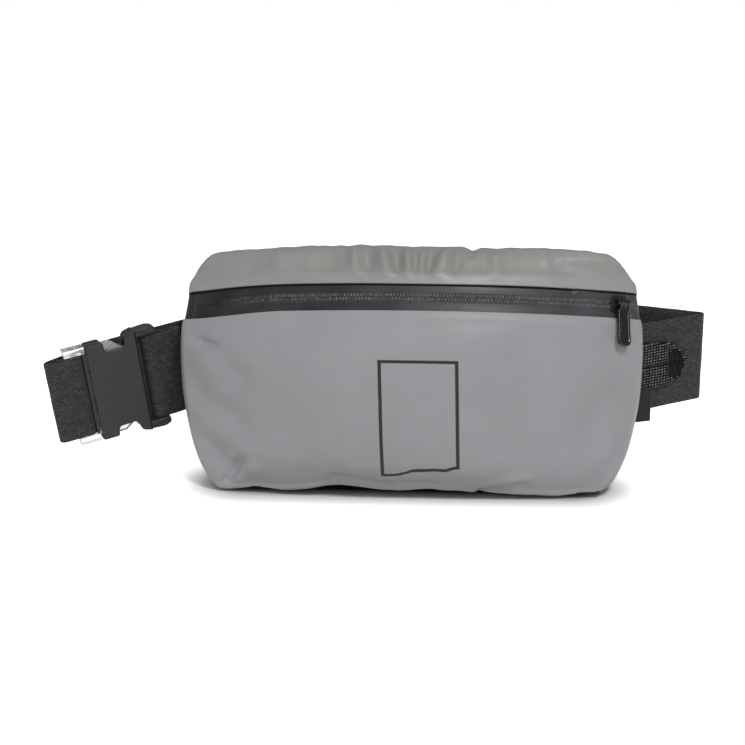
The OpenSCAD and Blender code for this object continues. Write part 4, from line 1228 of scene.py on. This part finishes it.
class BELTBAG_OT_slider(bpy.types.Operator):
    """Zip slider with rounded edges, and the pull with its raised rim"""

    bl_idname = "beltbag.slider"
    bl_label = "Slider and pull"

    def execute(self, context):
        shape = BagShape(context.scene)
        lacquer = bpy.data.materials["black lacquer"]
        softened_node("zip_slider", lacquer, "slider", 0.45)

        end_r, neck, eye_r, eye_w = shape.pull_w / 2, 3.0, 1.96, 3.6
        foot = -shape.pull_l
        right = [
            (eye_w / 2, 1.2, 0.3),
            (eye_w / 2, -neck, 0.8),
            (end_r, -neck - 1.2, 1.2),
            (end_r, foot + 6, 2.0),
            (end_r * 1.1, foot + 3.6, 2.0),
            (end_r, foot + 0.9, 1.8),
        ]
        outline = rounded([(-x, z, r) for x, z, r in right] + [(0, foot - 0.3, 2.5)] + right[::-1])
        bm = bmesh.new()
        add_plate(bm, outline, -shape.pull_t / 2, shape.pull_t / 2 - 0.4, 0.45)
        bm.normal_update()
        face = max(bm.faces, key=lambda f: -f.normal.y * f.calc_area())
        bmesh.ops.inset_region(bm, faces=[face], thickness=0.75, depth=0.0)
        bmesh.ops.inset_region(bm, faces=[face], thickness=0.3, depth=-0.4)
        eye = add_rod(bm, eye_r, eye_w, Matrix.Rotation(math.pi / 2, 4, "Y"))
        edges = dict.fromkeys(e for v in eye for e in v.link_edges)
        soften(bm, [e for e in edges if abs(e.verts[0].co.x - e.verts[1].co.x) < 1e-6], 0.35, 2)
        # the slider's plate and the height of its lugs, which carry the pull's bar
        plate, lug = 1.2, 1.96
        bar_out = shape.tape_t / 2 + 0.5 + plate + lug + 0.5
        place = (
            shape.zip_place(shape.slider_turn)
            @ Matrix.Translation((0, -bar_out, 0))
            @ Matrix.Rotation(shape.cone - shape.pull_swing, 4, "X")
            @ Matrix.Rotation(math.radians(7), 4, "Y")
        )
        bmesh.ops.transform(bm, matrix=place, verts=bm.verts)
        piece = finish_piece("zip_pull_cast", bm, [lacquer], "pull", ["zip_pull"])
        even_shading(piece)
        return {"FINISHED"}


class BELTBAG_OT_straps(bpy.types.Operator):
    """Short strap and the two parts of the belt, of woven webbing"""

    bl_idname = "beltbag.straps"
    bl_label = "Webbing"

    def execute(self, context):
        shape = BagShape(context.scene)
        webbing = polyester_webbing(context.scene.bag_finishes)
        left = shape.buckle_place()
        reach, wrap, rear = shape.strap_reach, shape.wrap_r, shape.rear_line
        upright = Vector((0, 0, 1))

        def woven(node, path, ups, width, body, wides=None):
            bm = sweep(path, ups, web_section(width, shape.web_t), wides=wides)
            bm.normal_update()
            for vert in bm.verts:
                vert.co += 0.14 * noise.noise(vert.co / 9) * vert.normal
            piece = finish_piece(node + "_webbing", bm, [webbing], body, [node])
            run = lengths_along(path)[-1]

        # short strap: from the seam, round the socket's bar and back
        sewn_y = shape.web_t / 2 + LAYER_GAP / 2
        points = in_plane((reach - 1.4, sewn_y), (reach - 8, wrap * 0.8))
        points += arc(shape.socket_bar_x, 0, wrap, 90, 270)
        points += in_plane((reach - 8, -wrap * 0.8), (reach - 1.4, -sewn_y))
        path = [left @ p for p in even_path(points, 0.7, 3)]
        lean = left.to_3x3() @ upright
        woven("short_strap", path, [lean] * len(path), shape.strap_w, "bag")

        # left belt: round the plug's bar, folded, and behind the buckle to the adjuster and its loose end
        bar, fold = shape.plug_bar_x, shape.plug_bar_x - 12
        points = in_plane((bar - 8, 0.4 - wrap + shape.web_t), (bar - 5, 0.6 - wrap + shape.web_t))
        points += [*arc(bar + 0.9, 0, wrap, 90, -90), *arc(fold, 2.2 - wrap, 2.2, 270, 90)]
        points += in_plane((fold + 8, 4.2), (fold + 15, 7), (fold + 22, 8.8), (fold + 34, rear))
        points += in_plane((shape.adjuster, rear), (shape.adjuster + shape.tail_l, rear))
        path = [left @ p for p in even_path(points, BELT_STEP, 4)]
        woven("belt_left", path, [lean] * len(path), shape.belt_w, "plug")

        # right belt: from the seam, folded, behind the bag and round the adjuster's bar
        root, yaw, fold_r = shape.right_root(), shape.right_yaw, 2.4
        way = shape.right_place().to_3x3() @ Vector((1, 0, 0))
        tip = root + (shape.fold_reach - fold_r) / math.cos(yaw) * way
        side = Vector((-math.sin(yaw), math.cos(yaw), 0))
        out = Vector((math.cos(yaw), math.sin(yaw), 0))
        hinge = tip + fold_r * side
        front = [root, (root + tip) / 2]
        turns = [math.pi * k / 16 for k in range(17)]
        front += [hinge + fold_r * (math.sin(t) * out - math.cos(t) * side) for t in turns]
        rear_y, w, z = shape.seam_y + shape.rear_d, shape.half_w, shape.belt_z
        knots = [
            [w, rear_y, z + 7],
            [w * 0.5, rear_y + 0.5, z + 6],
            [0, rear_y - 1, z + 5],
            [-w * 0.45, rear_y - 4, z + 3.5],
        ]
        behind = [Vector(curve_at(knots, k / 6)) for k in range(19)]
        bar_x, bar_y, bar_r = shape.adjuster, shape.adjuster_y, shape.adjuster_wrap
        end = in_plane((bar_x + 16, bar_y - bar_r), (bar_x + 8, bar_y - bar_r))
        end += [*arc(bar_x, bar_y, bar_r, 270, 90), *in_plane((bar_x + 8, bar_y + bar_r))]
        path = even_path(front + behind + [left @ p for p in end], BELT_STEP, 4)
        turned = [fade(-p.x, -w, w * 0.45) for p in path]
        ups = [upright.lerp(lean, t if p.y > rear_y - 8 else 0) for p, t in zip(path, turned)]
        # the slack front of the belt lies flatter, so it is a little wider
        wides = [1.06 - 0.06 * fade(i * BELT_STEP, 70, 170) for i in range(len(path))]
        woven("belt_right", path, ups, shape.belt_w, "bag", wides)
        return {"FINISHED"}


class BELTBAG_OT_wing(bpy.types.Operator):
    """Folded mesh wing on the right strap, and the bare folded label below it"""

    bl_idname = "beltbag.wing"
    bl_label = "Wing and label"

    def execute(self, context):
        shape = BagShape(context.scene)
        mesh = bpy.data.materials["spacer mesh"]
        half, reach = shape.wing_h / 2, shape.wing_l
        # edges as shares of the wing's length and half height
        top = [[0, 1], [0.35, 0.93], [0.7, 0.8], [0.9, 0.42], [1, 0.2]]
        low = [[0, -1], [0.35, -0.92], [0.75, -0.8], [0.92, -0.2], [1, 0.12]]
        top, low = ([[reach * x, half * z] for x, z in edge] for edge in (top, low))

        def spot(a, b):
            upper, lower = curve_at(top, 4 * a), curve_at(low, 4 * a)
            return [lo + (hi - lo) * b for lo, hi in zip(lower, upper)]

        def puffed(a, b):
            x, z = spot(a, b)
            tall = abs(spot(a, 1)[1] - spot(a, 0)[1])
            near = min(b * tall, (1 - b) * tall, reach - x)
            rim = 1 - min(1.0, max(0.0, near) / 1.6)
            bulge = shape.wing_t * math.sqrt(max(0.0, 1 - rim * rim))
            groove = 0.9 * math.exp(-(((z - 0.4) / 0.7) ** 2))
            groove += 0.8 * fade(x, reach * 0.5, reach * 0.65) * fade(reach * 0.85 - x, 0, 2)
            folds = 0.4 * math.sin(2.4 * x + 0.5 * z) * fade(x, reach * 0.5, reach * 0.6)
            return Vector((x, -max(0.25, bulge + folds - groove * min(1, bulge)), z))

        def slanted(a, b):
            x, z = spot(a, b)
            return x + 0.5 * z, z

        bm = sheet_grid(60, 60, puffed, slanted)
        # dark patch before the tip, where the mesh's pale stitches don't show
        for face in bm.faces:
            middle = face.calc_center_median()
            ragged = 0.12 * noise.noise(Vector((middle.x / 2.2, middle.z / 2.2, 3.0)))
            if math.hypot((middle.x / reach - 0.72) / 0.17, (middle.z / half + 0.05) / 0.62) + ragged < 1:
                face.material_index = 1
        close_sheet(bm)
        lift = shape.web_t / 2 + LAYER_GAP
        place = shape.right_place() @ Matrix.Translation((0, -lift, 0))
        bmesh.ops.transform(bm, matrix=place, verts=bm.verts)
        patch = plain_cloth("sewn patch", "#0c0b0c", 0.6)
        wing = finish_piece("wing_mesh", bm, [mesh, patch], "bag", ["wing_right"])

        label_z, r = shape.belt_z - 8 - shape.label_h / 2, 0.35
        fold = arc(shape.label_l - r - 0.25, 0, r, -90, 90, 8)
        points = [*in_plane((0, -r)), *fold, *in_plane((0, r))]
        path = even_path(points, 0.35, 0)

        def label_place(a, b):
            p = path[round(a * (len(path) - 1))]
            curl = 0.25 * math.sin(2.2 * b) * p.x / shape.label_l
            return Vector((p.x, p.y + curl, (b - 0.5) * shape.label_h))

        bm = sheet_grid(len(path) - 1, 16, label_place, lambda a, b: (18 * a, 14 * b))
        root = Matrix.Translation((shape.half_w + 0.4, shape.seam_y - 1, label_z))
        place = root @ Matrix.Rotation(shape.right_yaw, 4, "Z")
        bmesh.ops.transform(bm, matrix=place, verts=bm.verts)
        cloth = plain_cloth("woven label", "#2c2b2c", 0.5)
        label = finish_piece("side_label_cloth", bm, [cloth], "bag", ["side_label"])
        thicken(label, 0.35, offset=0.0)
        return {"FINISHED"}


class BELTBAG_OT_buckle(bpy.types.Operator):
    """Side release buckle: bare moulded socket, clear plug, and the adjuster"""

    bl_idname = "beltbag.buckle"
    bl_label = "Buckle and adjuster"

    def darken_rim(self, shape, plug, material):
        """Painted shade: the plug's rim between the belt and the mouth is drawn in black acetal, for the
        shade in the gap there.
        """
        place, half = shape.buckle_place(), shape.belt_w / 2 + 0.2
        bm = bmesh.new()
        bm.from_mesh(plug.data)
        for side in (-1, 1):
            bmesh.ops.bisect_plane(
                bm,
                geom=[*bm.verts, *bm.edges, *bm.faces],
                plane_co=place @ Vector((0, 0, side * half)) * MM,
                plane_no=place.to_3x3() @ Vector((0, 0, 1)),
            )
        back = place.inverted()
        for face in bm.faces:
            spot = back @ (face.calc_center_median() / MM)
            if -PLUG_RIM - 0.6 < spot.x < LAYER_GAP and abs(spot.z) < half:
                face.material_index = 1
        bm.to_mesh(plug.data)
        bm.free()
        plug.data.materials.append(material)

    def execute(self, context):
        shape = BagShape(context.scene)
        finish = context.scene.bag_finishes
        acetal = moulded_acetal(finish)
        clear = clear_polycarbonate(finish)
        # half heights of the mouth, the flared end, the walls, the rails, the end wall and the lips
        mouth, flare, wall_z, rail_z, shut_z, lip_z = 24.3, 26.3, 22.3, 21.9, 22.4, 22.8
        # half depths of the body, the hollow, the walls and the rails
        half, hollow, wall_y, rail_y = shape.socket_t / 2, 2.6, 3.4, 3.6
        end, far = shape.socket_l, shape.socket_bar_x + 4.9
        right = [
            (0, mouth, 1.6),
            (8.5, mouth, 1.4),
            (8.7, mouth - 4.8, 2.2),
            (18.3, mouth - 5.0, 1.6),
            (19.9, mouth + 0.4, 1.8),
            (end, flare - 0.2, 0.4),
        ]
        outline = rounded(right + [(x, -z, r) for x, z, r in reversed(right)])
        bm = bmesh.new()
        add_plate(bm, outline, -half, -hollow, 0.75)
        add_plate(bm, outline, hollow, half, 0.75)
        front_wall = [(0.3, wall_z), (8.2, wall_z), (8.2, mouth - 0.3), (0.3, mouth - 0.3)]
        rear_wall = [(19.8, wall_z), (end - 0.3, wall_z), (end - 0.3, flare - 0.7), (20.6, mouth + 0.1)]
        rail = [
            (end - 1, rail_z, 0.2),
            (far - 0.5, rail_z, 0.5),
            (far, flare - 1.2, 1.5),
            (far - 3.5, flare + 0.2, 2.5),
            (end - 1, flare - 0.4, 0.5),
        ]
        for sign in (-1, 1):
            for wall in (front_wall, rear_wall):
                add_plate(bm, [(x, sign * z) for x, z in wall], -wall_y, wall_y, 0)
            add_plate(bm, [(p.x, sign * p.y) for p in rounded(rail)], -rail_y, rail_y, 0.9)
        add_block(bm, end - 2.2, end - 0.3, -shut_z, shut_z, -wall_y, wall_y)
        # lips behind the slot
        for lip_x, y0, y1 in ((end + 2.2, -1, 1), (end + 3.2, 2.3, 3.4)):
            add_block(bm, end - 0.5, lip_x, -lip_z, lip_z, y0, y1)
        add_rod(bm, WEB_BAR_R, 2 * lip_z, Matrix.Translation((shape.socket_bar_x, 0, 0)))
        bmesh.ops.transform(bm, matrix=shape.buckle_place(), verts=bm.verts)
        socket = finish_piece(
            "buckle_socket_moulded", bm, [acetal], "bag", ["buckle_socket"]
        )
        even_shading(socket)
        softened_node("triglide", acetal, "bag", 0.5)
        plug = softened_node("plug_body", clear, "plug", 0.5)
        self.darken_rim(shape, plug, acetal)
        for body in ("prong_upper", "prong_lower"):
            softened_node("plug_" + body, clear, body, 0.4)
        return {"FINISHED"}


class BELTBAG_OT_stitches(bpy.types.Operator):
    """Bartacks on the straps and the wing"""

    bl_idname = "beltbag.stitches"
    bl_label = "Bartacks"

    def execute(self, context):
        shape = BagShape(context.scene)
        thread = bonded_thread(context.scene.bag_finishes)
        left, right = shape.buckle_place(), shape.right_place()
        wing_y = -shape.web_t / 2 - LAYER_GAP - shape.wing_t - 0.05
        adjuster_y = shape.adjuster_y - shape.adjuster_wrap - shape.web_t / 2 - SEWN_GAP
        strap_y = -shape.wrap_r - shape.web_t / 2 + 0.12
        rows = {
            "bartack_socket": (left, [(shape.socket_bar_x + 4, strap_y, 0.4 * shape.strap_w)], "bag"),
            "bartack_plug": (left, [(shape.plug_bar_x - 5, strap_y, 0.4 * shape.belt_w)], "plug"),
            "bartack_adjuster": (left, [(shape.adjuster + 4, adjuster_y, 0.4 * shape.belt_w)], "bag"),
            "bartack_wing": (
                right, [(s * shape.wing_l, wing_y, 0.3 * shape.wing_h) for s in (0.2, 0.55)], "bag"
            ),
        }
        for node, (place, tacks, body) in rows.items():
            whole = bmesh.new()
            for x, y, tall in tacks:
                path = [place @ (p + Vector((x, y, 0))) for p in zigzag(-tall, tall, 0.4, 0.45)]
                ups = [place.to_3x3() @ Vector((0, 1, 0))] * len(path)
                bm = sweep(path, ups, round_section(0.2, 6))
                mesh = bpy.data.meshes.new("stitches")
                bm.to_mesh(mesh)
                bm.free()
                whole.from_mesh(mesh)
                bpy.data.meshes.remove(mesh)
            finish_piece(node + "_stitches", whole, [thread], body, [node])
        return {"FINISHED"}


class BELTBAG_OT_stage(bpy.types.Operator):
    """Pale floor, soft studio light and the camera"""

    bl_idname = "beltbag.stage"
    bl_label = "Stage"

    def execute(self, context):
        scene = context.scene
        scene.view_settings.view_transform = "Standard"
        bm = bmesh.new()
        bmesh.ops.create_grid(bm, x_segments=2, y_segments=2, size=6.0)
        mesh = bpy.data.meshes.new("floor")
        bm.to_mesh(mesh)
        bm.free()
        floor = bpy.data.objects.new("floor", mesh)
        floor.location.z = -0.0006
        scene.collection.objects.link(floor)
        # half width of the bag's foot, which the floor's painted shadow and glow follow
        foot = 0.076
        material = bpy.data.materials.new("pale floor")
        material.use_nodes = True
        material.node_tree.nodes.clear()
        add = partial(add_node, material.node_tree)
        path = add("LightPath")
        seen = add("Math", {0: path["Is Camera Ray"], 1: path["Is Glossy Ray"]}, operation="MAXIMUM")
        seen = add("Math", {0: seen[0], 1: path["Is Transmission Ray"]}, operation="MAXIMUM")
        spot = add("TexCoord")
        away = add("SeparateXYZ", {0: spot["Object"]})
        wide = add("Math", {0: away["X"]}, operation="ABSOLUTE")
        wide = add("Math", {0: wide[0], 1: foot}, operation="SUBTRACT")
        wide = add("Math", {0: wide[0], 1: 0.0}, operation="MAXIMUM")
        near = add("CombineXYZ", {0: wide[0], 1: away["Y"]})
        far = add("VectorMath", {0: near[0]}, operation="LENGTH")
        # painted shadow: the paper is drawn dark under the bag; away from it the camera sees it glow white,
        # so that the floor has no far edge
        gain = add(
            "MapRange",
            {"Value": far["Value"], 1: 0.018, 2: 0.046, 3: 0.0, 4: 0.9},
            interpolation_type="SMOOTHSTEP",
        )
        # painted shadow: the paper's own colour falls to near black under the bag
        tone = add("MapRange", {"Value": far["Value"], 1: 0.009, 2: 0.022, 3: 0.04, 4: 0.8})
        paper_with_painted_shadow = add("BsdfDiffuse", {"Color": tone[0]})
        glow = add("Emission", {"Color": linear("#ffffff"), "Strength": gain[0]})
        lit = add("AddShader", {0: paper_with_painted_shadow[0], 1: glow[0]})
        both = add("MixShader", {0: seen[0], 1: paper_with_painted_shadow[0], 2: lit[0]})
        add("OutputMaterial", {"Surface": both[0]})
        mesh.materials.append(material)

        world = bpy.data.worlds.new("studio")
        scene.world = world
        world.use_nodes = True
        world.node_tree.nodes.clear()
        add = partial(add_node, world.node_tree)
        path = add("LightPath")
        seen = add("Math", {0: path["Is Camera Ray"], 1: path["Is Transmission Ray"]}, operation="MAXIMUM")
        soft = add("Background", {"Color": linear("#f4f5f7"), "Strength": 0.36})
        white = add("Background", {"Color": linear("#ffffff"), "Strength": 1.0})
        both = add("MixShader", {0: seen[0], 1: soft[0], 2: white[0]})
        add("OutputWorld", {"Surface": both[0]})

        middle = Vector((0.0, 0.0, 0.06))
        lamps = [
            ("key", (0.55, -0.95, 1.45), 0.3, 14.5),
            ("front", (0.0, -1.7, 0.5), 1.0, 5.5),
            ("fill", (-1.2, -1.0, 0.6), 1.2, 2.2),
            ("overhead", (0.0, 0.3, 1.5), 0.7, 2.0),
        ]
        for name, where, size, watts in lamps:
            lamp = bpy.data.lights.new(name, "AREA")
            lamp.shape = "DISK"
            lamp.size = size
            lamp.energy = watts
            holder = bpy.data.objects.new(name, lamp)
            holder.location = where
            holder.rotation_euler = (middle - Vector(where)).to_track_quat("-Z", "Y").to_euler()
            scene.collection.objects.link(holder)

        azimuth, rise, distance = math.radians(3.5), math.radians(13.5), 0.640
        target = Vector((-0.0175, -0.001, 0.0555))
        level = math.cos(rise)
        back = Vector((math.sin(azimuth) * level, -math.cos(azimuth) * level, math.sin(rise)))
        lens = bpy.data.cameras.new("camera")
        lens.sensor_width = 36
        lens.lens = 64.75
        lens.clip_start, lens.clip_end = 0.01, 50
        camera = bpy.data.objects.new("camera", lens)
        camera.location = target + distance * back
        camera.rotation_euler = (-back).to_track_quat("-Z", "Y").to_euler()
        scene.collection.objects.link(camera)
        scene.camera = camera
        return {"FINISHED"}


OPERATORS = (
    BELTBAG_OT_front,
    BELTBAG_OT_top,
    BELTBAG_OT_back,
    BELTBAG_OT_zip,
    BELTBAG_OT_slider,
    BELTBAG_OT_straps,
    BELTBAG_OT_wing,
    BELTBAG_OT_buckle,
    BELTBAG_OT_stitches,
    BELTBAG_OT_stage,
)
GROUPS = {"bag_sizes": BagSizes, "zip_sizes": ZipSizes, "belt_sizes": BeltSizes, "bag_finishes": Finishes}


class BELTBAG_PT_panel(bpy.types.Panel):
    bl_label = "Belt bag"
    bl_idname = "BELTBAG_PT_panel"
    bl_space_type = "VIEW_3D"
    bl_region_type = "UI"
    bl_category = "Belt bag"

    def draw(self, context):
        layout = self.layout
        for operator in OPERATORS:
            layout.operator(operator.bl_idname)
        for key in GROUPS:
            group = getattr(context.scene, key)
            box = layout.box()
            for name in type(group).__annotations__:
                box.prop(group, name)


def register():
    for group in GROUPS.values():
        bpy.utils.register_class(group)
    for operator in OPERATORS:
        bpy.utils.register_class(operator)
    bpy.utils.register_class(BELTBAG_PT_panel)
    for key, group in GROUPS.items():
        setattr(bpy.types.Scene, key, PointerProperty(type=group))


def unregister():
    for key in GROUPS:
        delattr(bpy.types.Scene, key)
    bpy.utils.unregister_class(BELTBAG_PT_panel)
    for operator in reversed(OPERATORS):
        bpy.utils.unregister_class(operator)
    for group in reversed(GROUPS.values()):
        bpy.utils.unregister_class(group)


def main():
    register()
    for operator in OPERATORS:
        done = getattr(bpy.ops.beltbag, operator.bl_idname.split(".")[1])()
        if done != {"FINISHED"}:
            raise RuntimeError(f"{operator.bl_label} did not finish")


if __name__ == "__main__":
    main()
